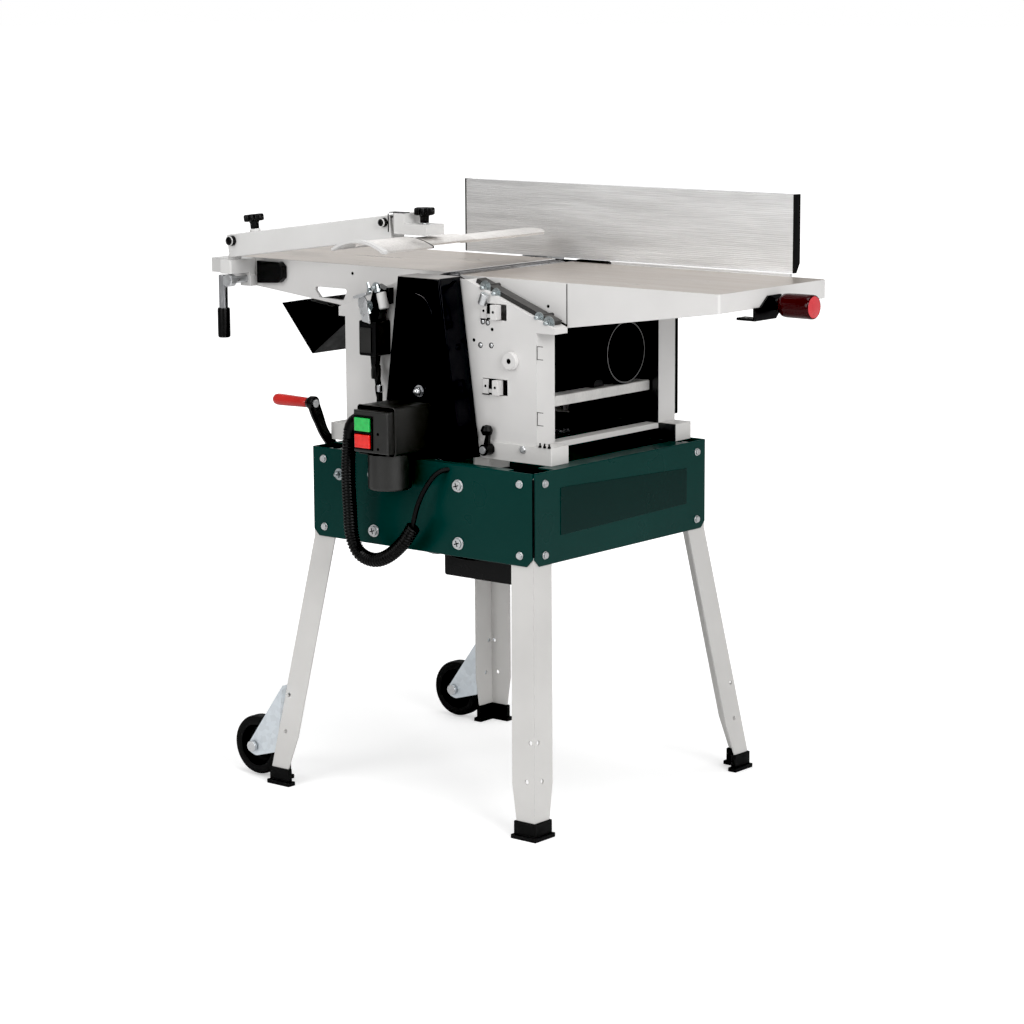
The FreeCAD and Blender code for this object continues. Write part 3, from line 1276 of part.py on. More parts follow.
def guard_mount():
    """Rail across the outfeed table's end with the block that carries the guard arm."""
    body = new_body("guard_mount")
    end, top = S.outfeed_end, S.table_bar_top
    low = top - S.rail_drop
    side = S.table_front - 2
    link_front = side - 15
    bar = 23
    pad(body, "xz", side, S.table_rear, [box_loop(end - bar, end, low - 2, top)])
    pad(body, "xz", link_front, side, [box_loop(end - bar, S.block_right, low, top)])
    pad(body, "xz", S.block_near, side, [box_loop(S.block_left, S.block_right, S.block_top - 23, S.block_top)])
    near = S.block_near.number + 1
    round_edges(body, 3, lambda edge: is_along(edge, "z") and edge.CenterOfMass.y < near)
    x, z = S.arm_left_x, S.arm_left_z
    ear = [(S.block_left + 2, S.block_top - 1), (S.block_right - 2, S.block_top - 1),
           (x + 9, z), (x + 8, z + 7), (x - 3, z + 7), (x - 8, z + 4)]
    pad(body, "xz", S.arm_y - 5, S.arm_y + 5, [ear])
    cut(body, "xz", S.arm_y - 6, S.arm_y + 6, circles=[(S.arm_left_x, S.arm_left_z, ARM_PIN + S.running)])
    pad(body, "xz", link_front, side, [box_loop(S.cam_x - 12, S.cam_x + 12, S.cam_z - 12, low)])
    cut(body, "xz", link_front, side, circles=[(S.cam_x, S.cam_z, CAM_PIN + S.running)])


def clamp_lever():
    """Eccentric lever below the clamp block: cam on its pin, tube and grip hanging down."""
    body = new_body("clamp_lever", at=(S.cam_x, S.cam_y, S.cam_z))
    half = 7
    pad(body, "xz", -half, half, circles=[(0, -1, 10.5)])
    pad(body, "xz", half, S.table_front - 3 - S.cam_y, circles=[(0, 0, CAM_PIN)])
    tube_x = -16
    pad(body, "xz", -6, 6, [box_loop(tube_x, 0, -8, 6)])
    pad(body, "xy", -47, 8.5, circles=[(tube_x, 0, 7.5)])
    pad(body, "xy", -96, -46, circles=[(tube_x, 0, 10.5)])
    round_edges(body, 3, lambda edge: abs(edge.CenterOfMass.z + 96) < 0.1)


def guard_arm():
    """Tilted channel-section arm on the operator's side, with a pivot knob at each end."""
    body = new_body("guard_arm", at=(S.arm_left_x, S.arm_y, S.arm_left_z), turn_axis="y", turn=-S.arm_tilt)
    half, wall = S.arm_half, S.arm_wall
    length = S.arm_length
    past = 12
    pad(body, "xz", -half, half, [box_loop(-past, length + past, -S.arm_down, S.arm_up)])
    round_edges(body, 2.2, lambda edge: is_along(edge, "x"))
    cut(body, "xz", -half + wall, half - wall,
        [box_loop(-past - 1, length + past + 1, -S.arm_down - 1, S.arm_up - wall)])
    pad(body, "xz", -half, half, circles=[(0, 0, ARM_PIN), (length, 0, ARM_PIN)])
    pad(body, "xz", -half - 9, -half, circles=[(0, 0, 8), (length, 0, 7)])
    pad(body, "xy", S.arm_up, S.arm_up + 4, circles=[(S.arm_knob, 0, 9)])
    cut(body, "xy", S.arm_up - wall, S.arm_up + 4, circles=[(S.arm_knob, 0, 4 + S.running)])


def arm_end():
    """Place of the arm's far pivot."""
    return (S.arm_left_x + S.arm_length * cosine(S.arm_tilt), S.arm_left_z + S.arm_length * sine(S.arm_tilt))


def star_knob(body, low, stem_low):
    """Six-lobed hand knob on a hub with its stem, turned about the body's upright axis."""
    hub, crown, thick = 7, 13, 12
    shoulder = low + 12
    pad(body, "xy", stem_low, low + 2, circles=[(0, 0, 4)])
    pad(body, "xy", low, shoulder + 1, circles=[(0, 0, hub)])
    pad(body, "xy", shoulder, shoulder + thick, circles=[(0, 0, crown)])
    lobe = pad(body, "xy", shoulder, shoulder + thick, circles=[(0, crown - 0.5, 4.5)])
    spin(body, lobe, "Z_Axis", 6)


def height_knob():
    """Knob that clamps the arm's height, on top of the arm near its fixed pivot."""
    x = S.arm_left_x + S.arm_knob * cosine(S.arm_tilt)
    z = S.arm_left_z + S.arm_knob * sine(S.arm_tilt)
    body = new_body("height_knob", at=(x, S.arm_y, z), turn_axis="y", turn=-S.arm_tilt)
    star_knob(body, S.arm_up + 4.2, S.arm_up - 6)


def guard_holder():
    """Block on the arm's far pivot whose shoe bears on the bridge guard."""
    x, z = arm_end()
    body = new_body("guard_holder", at=(x, S.arm_y, z))
    inner, outer = 10, 22
    pad(body, "xz", -inner, inner, circles=[(0, 0, 8)])
    block_left, block_right, block_top = 26, 48, 16
    neck = [(0, -8), (14, -14), (block_left + 1, -14), (block_left + 1, block_top), (14, block_top),
            (14, 7), (0, 7)]
    pad(body, "xz", -inner, inner, [neck])
    cut(body, "xz", -inner, inner, circles=[(0, 0, ARM_PIN + S.running)])
    shoe = S.guard_z + 11.5 - z
    shoe_right = S.guard_x + 22 - x
    pad(body, "xz", -outer, outer, [[(block_left, shoe), (shoe_right, shoe), (shoe_right, 0), (block_right, 0),
                                     (block_right, block_top), (block_left, block_top)]])
    cut(body, "xy", shoe, 0, circles=[(S.guard_x - x, 0, 4 + S.running)])


def width_knob():
    """Knob that clamps the bridge guard under the holder's shoe."""
    _, z = arm_end()
    body = new_body("width_knob", at=(S.guard_x, S.arm_y, z))
    star_knob(body, 1.5, S.guard_z + 12 - z)


def bridge_guard():
    """Bridge guard: an arched outer shell near the operator and stepped profiles over the cutter."""
    body = new_body("bridge_guard", at=(S.guard_x, 0, S.guard_z))
    pad(body, "xz", S.guard_near, -190, [arch(53, 11, -1, 3.2)])
    pad(body, "xz", -266, -75, [arch(41, 6.2, 1.2, 3.5)])
    pad(body, "xz", -105, S.guard_tip, [arch(37, 4.6, -0.2, 3.5)])
    tip, slant = S.guard_tip, 20
    for sign in (-1, 1):
        cut(body, "xy", -20, 20, [[(38 * sign, tip - slant), (38 * sign, tip + 1), (18 * sign, tip + 1)]])


def arch(half, rise, base, thick):
    """Closed arched strip, drawn with a few chords of a flat arc and its parallel underside."""
    steps = 6
    upper = []
    lower = []
    for i in range(steps + 1):
        share = 2 * i / steps - 1
        height = base + rise * (1 - share * share)
        upper.append((half * share, height))
        lower.append(((half - 1.5) * share, height - thick))
    return upper + lower[::-1]


# ---------------------------------------------------------------- build

for panel_side in SIDES:
    skirt_lengthwise(panel_side)
    base_rail(panel_side)
    side_panel(panel_side)
    wheel(panel_side)
    lift_screw(panel_side)
    for panel_end in ENDS:
        leg(panel_side, panel_end)
for panel_end in ENDS:
    skirt_endwise(panel_end)
group("wheel_brackets", [wheel_bracket(panel_side) for panel_side in SIDES])
rubber_feet()
stand_bolts()
cross_members()
cutter_block()
planer_knives()
cutter_bearings()
ribbed_pulley("cutter_pulley", (S.cutter_x, S.belt_y, CUTTER_Z), S.pulley_radius, S.journal_radius)
drive_belt()
motor_housing()
motor_rotor()
feed_roller("infeed_roller", S.cutter_x + S.roller_offset)
feed_roller("outfeed_roller", S.cutter_x - S.roller_offset)
kickback_pawls()
outfeed_table()
infeed_table()
incline_bars()
knob_bracket()
depth_knob()
thickness_table()
lift_chain()
crank_arm()
crank_grip()
chip_hood()
belt_cover()
rear_cover()
switch_box()
push_button("start_button", 0)
push_button("stop_button", 1)
interlock_switch()
feed_lever()
fence_profile()
fence_end_caps()
fence_holder()
fence_bar()
fence_bracket()
fence_lever()
guard_mount()
clamp_lever()
guard_arm()
height_knob()
guard_holder()
width_knob()
bridge_guard()

doc.recompute()
faults = []
for item in doc.Objects:
    if "Invalid" in item.State or "Error" in item.State:
        faults.append(f"{item.Name}: {item.State}")
for node in NODES:
    if node.Shape.isNull() or not node.Shape.isValid():
        faults.append(f"{node.Label}: bad shape")
if faults:
    raise RuntimeError("; ".join(faults))

os.makedirs("parts", exist_ok=True)
for node in NODES:
    node.Shape.exportStep(f"parts/{node.Label}.step")
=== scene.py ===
import json
import math
import bmesh
import bpy
from mathutils import Matrix, Vector


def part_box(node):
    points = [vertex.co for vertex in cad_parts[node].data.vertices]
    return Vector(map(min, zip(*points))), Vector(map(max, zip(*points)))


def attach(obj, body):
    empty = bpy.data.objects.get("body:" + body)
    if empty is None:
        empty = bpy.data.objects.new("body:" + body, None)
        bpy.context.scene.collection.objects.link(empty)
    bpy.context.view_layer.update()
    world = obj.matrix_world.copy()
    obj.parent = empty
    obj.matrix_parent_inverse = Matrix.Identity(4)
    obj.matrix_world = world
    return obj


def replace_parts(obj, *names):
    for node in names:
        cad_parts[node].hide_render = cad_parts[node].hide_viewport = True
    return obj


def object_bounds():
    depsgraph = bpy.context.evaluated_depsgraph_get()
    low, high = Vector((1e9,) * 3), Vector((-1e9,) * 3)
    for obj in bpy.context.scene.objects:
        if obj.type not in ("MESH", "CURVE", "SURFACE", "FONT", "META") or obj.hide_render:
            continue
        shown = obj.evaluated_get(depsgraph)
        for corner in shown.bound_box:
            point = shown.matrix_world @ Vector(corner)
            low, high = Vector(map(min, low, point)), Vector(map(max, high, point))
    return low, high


# Surface planer and thicknesser: materials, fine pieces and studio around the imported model.
# Lengths below are millimetres, turned into metres by MM; every place starts from a CAD node's box.

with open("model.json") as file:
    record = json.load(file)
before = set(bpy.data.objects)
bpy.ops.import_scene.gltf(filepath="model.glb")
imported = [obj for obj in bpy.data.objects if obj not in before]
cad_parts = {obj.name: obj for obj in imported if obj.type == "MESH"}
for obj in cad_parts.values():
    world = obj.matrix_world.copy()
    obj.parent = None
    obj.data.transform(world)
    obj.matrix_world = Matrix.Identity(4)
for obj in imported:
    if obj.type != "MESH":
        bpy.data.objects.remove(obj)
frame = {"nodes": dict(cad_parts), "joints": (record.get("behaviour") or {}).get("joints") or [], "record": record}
CAD_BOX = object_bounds()
MM = 0.001


# ---------------------------------------------------------------- places

def low(node, x=0, y=0, z=0):
    """The low corner of a CAD node's box, plus an offset."""
    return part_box(node)[0] + Vector((x, y, z)) * MM


def high(node, x=0, y=0, z=0):
    """The high corner of a CAD node's box, plus an offset."""
    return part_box(node)[1] + Vector((x, y, z)) * MM


def middle(node):
    """The middle of a CAD node's box."""
    return (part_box(node)[0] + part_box(node)[1]) / 2


def extent(node):
    """The size of a CAD node's box, in millimetres."""
    return (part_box(node)[1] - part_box(node)[0]) / MM


def joint_of(body):
    """The joint that a body turns or slides on."""
    return next(joint for joint in frame["joints"] if joint["child"] == body)


def pivot_of(body):
    """A point on the axis of a body's joint."""
    return Vector(joint_of(body)["pos_m"])


def shifted(start, *places):
    """Points at offsets in millimetres from a start."""
    return [start + Vector(place) * MM for place in places]


# ---------------------------------------------------------------- materials

class Shade:
    """Small builder for one node material in object coordinates, which are metres."""

    def __init__(self, name, roughness, metallic=0.0):
        self.material = bpy.data.materials.new(name)
        self.material.use_nodes = True
        self.tree = self.material.node_tree
        self.surface = self.tree.nodes["Principled BSDF"]
        self.surface.inputs["Roughness"].default_value = roughness
        self.surface.inputs["Metallic"].default_value = metallic
        self.place = self.tree.nodes.new("ShaderNodeTexCoord").outputs["Object"]

    def add(self, kind, **values):
        node = self.tree.nodes.new(kind)
        for key, value in values.items():
            if hasattr(node, key):
                setattr(node, key, value)
            else:
                node.inputs[key.replace("_", " ")].default_value = value
        return node

    def link(self, start, end):
        self.tree.links.new(start, end)

    def noise(self, scale, detail=3.0, stretch=(1, 1, 1)):
        mapping = self.add("ShaderNodeMapping")
        mapping.inputs["Scale"].default_value = stretch
        self.link(self.place, mapping.inputs["Vector"])
        node = self.add("ShaderNodeTexNoise", Scale=scale, Detail=detail)
        self.link(mapping.outputs["Vector"], node.inputs["Vector"])
        return node.outputs["Fac"]

    def cells(self, scale):
        node = self.add("ShaderNodeTexVoronoi", Scale=scale)
        self.link(self.place, node.inputs["Vector"])
        return node.outputs["Color"]

    def spread(self, value, low_out, high_out, low_in=0.3, high_in=0.7):
        """Stretches a 0 to 1 pattern over a range of values."""
        node = self.add("ShaderNodeMapRange")
        self.link(value, node.inputs["Value"])
        node.inputs["From Min"].default_value = low_in
        node.inputs["From Max"].default_value = high_in
        node.inputs["To Min"].default_value = low_out
        node.inputs["To Max"].default_value = high_out
        return node.outputs["Result"]

    def mix(self, share, first, second):
        """Colour mix; each input is a colour or another node's output."""
        node = self.add("ShaderNodeMix", data_type="RGBA")
        for socket, value in ((node.inputs[0], share), (node.inputs[6], first), (node.inputs[7], second)):
            if isinstance(value, bpy.types.NodeSocket):
                self.link(value, socket)
            else:
                socket.default_value = value if isinstance(value, float) else (*value, 1.0)
        return node.outputs[2]

    def edges(self, radius):
        """Mask of the outer and inner edges, from the difference to a rounded normal."""
        rounded = self.add("ShaderNodeBevel", samples=4, Radius=radius * MM)
        flat = self.add("ShaderNodeNewGeometry")
        dot = self.add("ShaderNodeVectorMath", operation="DOT_PRODUCT")
        self.link(rounded.outputs["Normal"], dot.inputs[0])
        self.link(flat.outputs["Normal"], dot.inputs[1])
        return self.spread(dot.outputs["Value"], 1.0, 0.0, 0.75, 0.97)

    def upward(self):
        """Mask of the faces that look up: dust settles there, and gloss black gets a painted reflection there."""
        flat = self.add("ShaderNodeNewGeometry")
        parts = self.add("ShaderNodeSeparateXYZ")
        self.link(flat.outputs["Normal"], parts.inputs[0])
        return self.spread(parts.outputs["Z"], 0.0, 1.0, 0.6, 0.95)

    def inside(self):
        """Mask of the faces that look at the machine's middle plane, which painted shade turns near black."""
        flat = self.add("ShaderNodeNewGeometry")
        facing = self.add("ShaderNodeSeparateXYZ")
        self.link(flat.outputs["Normal"], facing.inputs[0])
        where = self.add("ShaderNodeSeparateXYZ")
        self.link(self.place, where.inputs[0])
        return self.spread(self.times(facing.outputs["Y"], where.outputs["Y"]), 1.0, 0.0, -0.08, -0.05)

    def times(self, first, second):
        node = self.add("ShaderNodeMath", operation="MULTIPLY")
        for socket, value in zip(node.inputs, (first, second)):
            if isinstance(value, float):
                socket.default_value = value
            else:
                self.link(value, socket)
        return node.outputs[0]

    def colour(self, value):
        self.link(value, self.surface.inputs["Base Color"])

    def rough(self, value):
        self.link(value, self.surface.inputs["Roughness"])

    def bump(self, height, depth, strength=1.0):
        """Adds relief: depth in millimetres."""
        node = self.add("ShaderNodeBump", Distance=depth * MM, Strength=strength)
        self.link(height, node.inputs["Height"])
        socket = self.surface.inputs["Normal"]
        if socket.links:
            self.link(socket.links[0].from_socket, node.inputs["Normal"])
        self.link(node.outputs["Normal"], socket)

    def set(self, **values):
        for key, value in values.items():
            self.surface.inputs[key.replace("_", " ")].default_value = value


def tint(colour, factor):
    return tuple(min(1.0, channel * factor) for channel in colour)


def powder_coat(name, colour, roughness, peel=0.05, edge_wear_and_shade=0.85, dust=0.05, shine=0.5, shade_inside=False,
                edge=2.0):
    """Baked paint: faint orange peel, edges lighter or darker by a factor (lighter edges are coat worn thin,
    darker edges are painted shade outlining the part), a little dust on top faces, and where asked, inward faces
    near black as painted shade.
    """
    s = Shade(name, roughness)
    s.set(Specular_IOR_Level=shine)
    patches = s.spread(s.noise(6.0, 4.0), 0.0, 1.0)
    base = s.mix(patches, tint(colour, 0.93), tint(colour, 1.06))
    # Edge mask for both cases: worn coat where the factor lightens, painted shade where it darkens.
    wear_and_shade_edges = s.times(s.edges(1.0), s.spread(s.noise(160.0, 4.0), 0.3, 1.0))
    base = s.mix(s.times(wear_and_shade_edges, edge_wear_and_shade), base, tint(colour, edge))
    settled = s.times(s.times(s.upward(), s.spread(s.noise(45.0, 5.0), 0.1, 1.0)), dust)
    base = s.mix(settled, base, (0.55, 0.52, 0.47))
    # Inward faces near black: painted shade inside the body.
    if shade_inside:
        base = s.mix(s.inside(), base, (0.012, 0.012, 0.013))
    s.colour(base)
    s.rough(s.spread(s.noise(14.0, 3.0), roughness - 0.05, roughness + 0.07))
    s.bump(s.noise(620.0, 2.0), peel, 0.5)
    s.bump(s.noise(45.0, 2.0), peel * 2, 0.15)
    return s.material


def ground_aluminium(name, colour, roughness=0.36, metallic=0.75):
    """Table top ground lengthwise, with long faint marks and rubbed streaks."""
    s = Shade(name, roughness, metallic)
    lines = s.noise(30.0, 6.0, (1.5, 45.0, 6.0))
    streaks = s.noise(5.0, 4.0, (1.0, 9.0, 1.0))
    base = s.mix(s.spread(lines, 0.0, 1.0, 0.35, 0.65), tint(colour, 0.9), tint(colour, 1.08))
    base = s.mix(s.spread(streaks, 0.0, 0.35), base, tint(colour, 1.2))
    s.colour(s.mix(s.times(s.edges(0.8), 0.5), base, tint(colour, 1.7)))
    s.rough(s.spread(streaks, roughness - 0.07, roughness + 0.09))
    s.bump(s.noise(60.0, 4.0, (1.0, 40.0, 4.0)), 0.03, 0.35)
    return s.material


def extrusion(name, colour, roughness=0.33):
    """Anodised profile with drawing lines along its length."""
    s = Shade(name, roughness, 0.95)
    lines = s.noise(40.0, 5.0, (0.4, 12.0, 26.0))
    s.colour(s.mix(s.spread(lines, 0.0, 1.0, 0.35, 0.65), tint(colour, 0.9), tint(colour, 1.07)))
    s.rough(s.spread(s.noise(9.0, 3.0, (0.5, 4.0, 6.0)), roughness - 0.06, roughness + 0.08))
    s.bump(lines, 0.04, 0.4)
    return s.material


def zinc(name, colour, roughness=0.3):
    """Bright zinc plate with a faint blue spangle."""
    s = Shade(name, roughness, 0.9)
    crystals = s.add("ShaderNodeSeparateColor")
    s.link(s.cells(130.0), crystals.inputs[0])
    base = s.mix(s.spread(crystals.outputs[0], 0.0, 1.0, 0.0, 1.0), tint(colour, 0.94), tint(colour, 1.05))
    s.colour(s.mix(s.times(s.edges(0.5), 0.4), base, tint(colour, 1.35)))
    s.rough(s.spread(crystals.outputs[1], roughness - 0.06, roughness + 0.12, 0.0, 1.0))
    s.bump(s.noise(260.0, 3.0), 0.02, 0.4)
    return s.material


def machined(name, colour=(0.52, 0.52, 0.53), roughness=0.27):
    """Turned or milled steel with fine tool marks round it."""
    s = Shade(name, roughness, 1.0)
    marks = s.noise(90.0, 5.0, (1.0, 14.0, 1.0))
    oil = s.noise(22.0, 3.0)
    s.colour(s.mix(s.spread(oil, 0.0, 0.6), colour, tint(colour, 0.7)))
    s.rough(s.spread(marks, roughness - 0.08, roughness + 0.12))
    s.bump(marks, 0.03, 0.4)
    return s.material


def moulded(name, colour, roughness, grain=0.05, scale=900.0, coat=0.0, shine=0.22):
    """Moulded plastic: fine spark-eroded grain, rubbed edges, slight shade changes."""
    s = Shade(name, roughness)
    s.set(Coat_Weight=coat, Coat_Roughness=0.08, Specular_IOR_Level=shine)
    base = s.mix(s.spread(s.noise(18.0, 4.0), 0.0, 1.0), tint(colour, 0.85), tint(colour, 1.2))
    s.colour(s.mix(s.times(s.edges(0.5), 0.15), base, tint(colour, 2.2)))
    s.rough(s.spread(s.noise(40.0, 3.0), roughness - 0.06, roughness + 0.08))
    s.bump(s.noise(scale, 2.0), grain, 0.5)
    return s.material


def gloss_black(name):
    """Thick glossy paint: deep black, faint ripple and hairline marks, with a painted highlight on the edges and a
    painted reflection lightening the top faces.
    """
    s = Shade(name, 0.16)
    s.set(Coat_Weight=0.05, Coat_Roughness=0.05, Specular_IOR_Level=0.12)
    marks = s.spread(s.noise(70.0, 8.0, (1.0, 1.0, 0.15)), 0.0, 1.0, 0.62, 0.75)
    base = s.mix(s.times(marks, 0.25), (0.0012, 0.0014, 0.0022), (0.012, 0.012, 0.014))
    # Lighter edges: painted highlight.
    base = s.mix(s.times(s.edges(0.9), 0.5), base, (0.09, 0.09, 0.10))
    # Lighter top faces: painted reflection of the overhead light.
    s.colour(s.mix(s.times(s.upward(), 0.8), base, (0.55, 0.53, 0.51)))
    s.rough(s.spread(s.noise(30.0, 5.0), 0.10, 0.24))
    s.bump(s.noise(24.0, 1.0), 0.12, 0.12)
    return s.material


def rubber(name, colour=(0.012, 0.012, 0.013)):
    """Soft black rubber with a dull bloom and moulding grain."""
    s = Shade(name, 0.62)
    s.set(Specular_IOR_Level=0.2)
    bloom = s.spread(s.noise(32.0, 5.0), 0.0, 1.0)
    s.colour(s.mix(s.times(bloom, 0.6), colour, tint(colour, 2.2)))
    s.rough(s.spread(bloom, 0.52, 0.74, 0.0, 1.0))
    s.bump(s.noise(480.0, 3.0), 0.08, 0.5)
    return s.material


def clear_button(name, colour):
    """Glossy push button with a little light inside."""
    s = Shade(name, 0.22)
    s.set(Subsurface_Weight=0.25, Subsurface_Scale=0.004, Coat_Weight=0.5)
    s.colour(s.mix(s.spread(s.noise(120.0, 3.0), 0.0, 1.0), tint(colour, 0.85), tint(colour, 1.1)))
    s.bump(s.noise(300.0, 2.0), 0.03, 0.3)
    return s.material


# Edge factor for the light grey paints: darker edges are painted shade that outlines each part.
EDGE_SHADE_DARK = 0.32
GREEN = powder_coat("stand_green_paint", (0.0035, 0.033, 0.028), 0.30, edge_wear_and_shade=0.2, dust=0.0, shine=0.18)
PLATE_GREEN = powder_coat("stand_plate_paint", (0.002, 0.017, 0.0145), 0.22, peel=0.02, edge_wear_and_shade=0.1,
                          dust=0.0, shine=0.18)
LEG_GREY = powder_coat("leg_paint", (0.60, 0.59, 0.575), 0.38, peel=0.04, edge=EDGE_SHADE_DARK)
BODY_GREY = powder_coat("body_paint", (0.66, 0.65, 0.64), 0.42, shade_inside=True, edge=EDGE_SHADE_DARK)
RAIL_GREY = powder_coat("rail_paint", (0.66, 0.65, 0.635), 0.4, shade_inside=True, edge=EDGE_SHADE_DARK)
TABLE_SIDE = powder_coat("table_side_paint", (0.68, 0.67, 0.66), 0.45, peel=0.09, edge=EDGE_SHADE_DARK)
GUARD_GREY = powder_coat("guard_paint", (0.66, 0.655, 0.645), 0.42, peel=0.04, edge=EDGE_SHADE_DARK)
DARK_PAINT = powder_coat("dark_bar_paint", (0.028, 0.027, 0.026), 0.35, edge_wear_and_shade=0.5, shine=0.4)
BLACK_PAINT = powder_coat("black_paint", (0.003, 0.003, 0.0032), 0.3, edge_wear_and_shade=0.2, dust=0.01, shine=0.25)
TABLE_TOP = ground_aluminium("table_ground_top", (0.47, 0.425, 0.385), 0.34, 0.6)
BED_TOP = ground_aluminium("bed_ground_top", (0.80, 0.79, 0.77), 0.5)
FENCE_SKIN = extrusion("fence_anodised", (0.93, 0.93, 0.93), 0.42)
GUARD_SKIN = extrusion("guard_anodised", (0.86, 0.835, 0.81), 0.45)
ZINC = zinc("zinc_plate", (0.62, 0.63, 0.64))
BLUE_ZINC = zinc("blue_zinc_plate", (0.74, 0.79, 0.83), 0.45)
BOLT_ZINC = zinc("bolt_zinc_plate", (0.42, 0.46, 0.47), 0.24)
STEEL = machined("machined_steel")
CHROME = machined("chrome_tube", (0.70, 0.71, 0.73), 0.12)
COVER_BLACK = gloss_black("cover_gloss_black")
HOOD_BLACK = moulded("hood_plastic", (0.0015, 0.0015, 0.0016), 0.5, 0.04, 700.0, shine=0.12)
PLASTIC = moulded("black_plastic", (0.003, 0.003, 0.003), 0.34)
CASE_BLACK = moulded("switch_case_plastic", (0.010, 0.010, 0.009), 0.34, 0.03, 650.0, shine=0.6)
KNOB_RED = moulded("depth_knob_plastic", (0.028, 0.0005, 0.001), 0.14, 0.003, 500.0, coat=0.0, shine=0.22)
KNOB_FACE = moulded("depth_knob_face", (0.62, 0.06, 0.07), 0.3, 0.03, 500.0, coat=0.3)
GRIP_RED = moulded("crank_grip_plastic", (0.46, 0.022, 0.018), 0.3, 0.02, 400.0, coat=0.3)
RUBBER = rubber("black_rubber", (0.003, 0.003, 0.003))
BELT = rubber("belt_rubber", (0.008, 0.008, 0.008))
# Grey far lighter than the hood: painted highlight on the port's rim.
PORT_HIGHLIGHT = moulded("port_highlight_plastic", (0.09, 0.09, 0.09), 0.35, 0.02, 500.0, shine=0.5)
# Near black for holes, screw recesses and window gaps, where it is painted shade, and for the dark joints and gap
# lines.
SHADE_AND_JOINT_BLACK = moulded("hole_shadow", (0.002, 0.002, 0.002), 0.9)
BUTTON_GREEN = clear_button("button_green_plastic", (0.03, 0.50, 0.10))
BUTTON_RED = clear_button("button_red_plastic", (0.78, 0.02, 0.015))


# ---------------------------------------------------------------- mesh code

def piece(name, bm, material, body, sharp=35):
    """Turns a bmesh into a shown piece that rides on a CAD body."""
    bmesh.ops.recalc_face_normals(bm, faces=bm.faces)
    mesh = bpy.data.meshes.new(name)
    bm.to_mesh(mesh)
    bm.free()
    mesh.materials.append(material)
    mesh.shade_smooth()
    mesh.set_sharp_from_angle(angle=math.radians(sharp))
    made = bpy.data.objects.new(name, mesh)
    bpy.context.scene.collection.objects.link(made)
    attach(made, body)
    return made


def soften(made, width, segments=2, angle=35):
    """Real rounded edges, kept flat-looking on the large faces."""
    edge = made.modifiers.new("edge", "BEVEL")
    edge.width = width * MM
    edge.segments = segments
    edge.limit_method = "ANGLE"
    edge.angle_limit = math.radians(angle)
    edge.use_clamp_overlap = True
    weight = made.modifiers.new("flat", "WEIGHTED_NORMAL")
    weight.keep_sharp = False
    return made


def skin(bm, rings, closed=True):
    """Quads between rings of equal length; an open ring has no face from its last point to its first."""
    count = len(rings[0])
    for first, second in zip(rings, rings[1:]):
        for i in range(count if closed else count - 1):
            after = (i + 1) % count
            bm.faces.new([first[i], first[after], second[after], second[i]])


def cap(bm, rings):
    """Flat faces over the first and the last ring."""
    bm.faces.new(rings[0][::-1])
    bm.faces.new(rings[-1])


def along_axis(centre, axis):
    """Placement whose Z runs along an axis from a centre."""
    to_axis = Vector((0, 0, 1)).rotation_difference(Vector(axis)).to_matrix().to_4x4()
    return Matrix.Translation(centre) @ to_axis


def turned(bm, profile, centre, axis, turns=48):
    """Surface of revolution: profile is (radius, along) in millimetres from one end to the other."""
    world = along_axis(centre, axis)
    rings = []
    for radius, along in profile:
        count = turns if radius > 0 else 1
        rings.append([bm.verts.new(world @ (Vector((radius * math.cos(2 * math.pi * i / turns),
                                                    radius * math.sin(2 * math.pi * i / turns), along)) * MM))
                      for i in range(count)])
    for first, second in zip(rings, rings[1:]):
        for i in range(turns):
            corners = [first[i % len(first)], first[(i + 1) % len(first)],
                       second[(i + 1) % len(second)], second[i % len(second)]]
            distinct = list(dict.fromkeys(corners))
            if len(distinct) > 2:
                bm.faces.new(distinct)
    return bm


def lathe(name, profile, centre, axis, material, body, turns=48, sharp=35):
    """One turned piece."""
    return piece(name, turned(bmesh.new(), profile, centre, axis, turns), material, body, sharp)


def disc(radius, low_end, high_end):
    """Profile of a plain disc or pin, solid to its axis."""
    return [(0, low_end), (radius, low_end), (radius, high_end), (0, high_end)]


def prism(bm, outline, axis, start, end, origin):
    """Extrudes an outline in millimetres along x, y or z, from an origin."""
    order = {"x": (2, 0, 1), "y": (0, 2, 1), "z": (0, 1, 2)}[axis]
    ends = []
    for level in (start, end):
        ring = []
        for first, second in outline:
            values = (first, second, level)
            ring.append(bm.verts.new(origin + Vector([values[order[k]] for k in range(3)]) * MM))
        ends.append(ring)
    bm.faces.new(ends[0])
    bm.faces.new(ends[1][::-1])
    count = len(outline)
    for i in range(count):
        bm.faces.new([ends[0][i], ends[0][(i + 1) % count], ends[1][(i + 1) % count], ends[1][i]])
    return bm


def slab(name, outline, axis, start, end, origin, material, body, edge):
    """One extruded piece with softened edges."""
    bm = prism(bmesh.new(), outline, axis, start, end, origin)
    return soften(piece(name, bm, material, body), edge)


def rectangle(left, right, bottom, top):
    return [(left, bottom), (right, bottom), (right, top), (left, top)]


def rounded(outline_low, outline_high, radius, steps=5):
    """Rounded rectangle between two corners."""
    (left, bottom), (right, top) = outline_low, outline_high
    centres = ((right - radius, top - radius, 0), (left + radius, top - radius, 90),
               (left + radius, bottom + radius, 180), (right - radius, bottom + radius, 270))
    points = []
    for x, y, start in centres:
        for i in range(steps + 1):
            turn = math.radians(start + 90 * i / steps)
            points.append((x + radius * math.cos(turn), y + radius * math.sin(turn)))
    return points


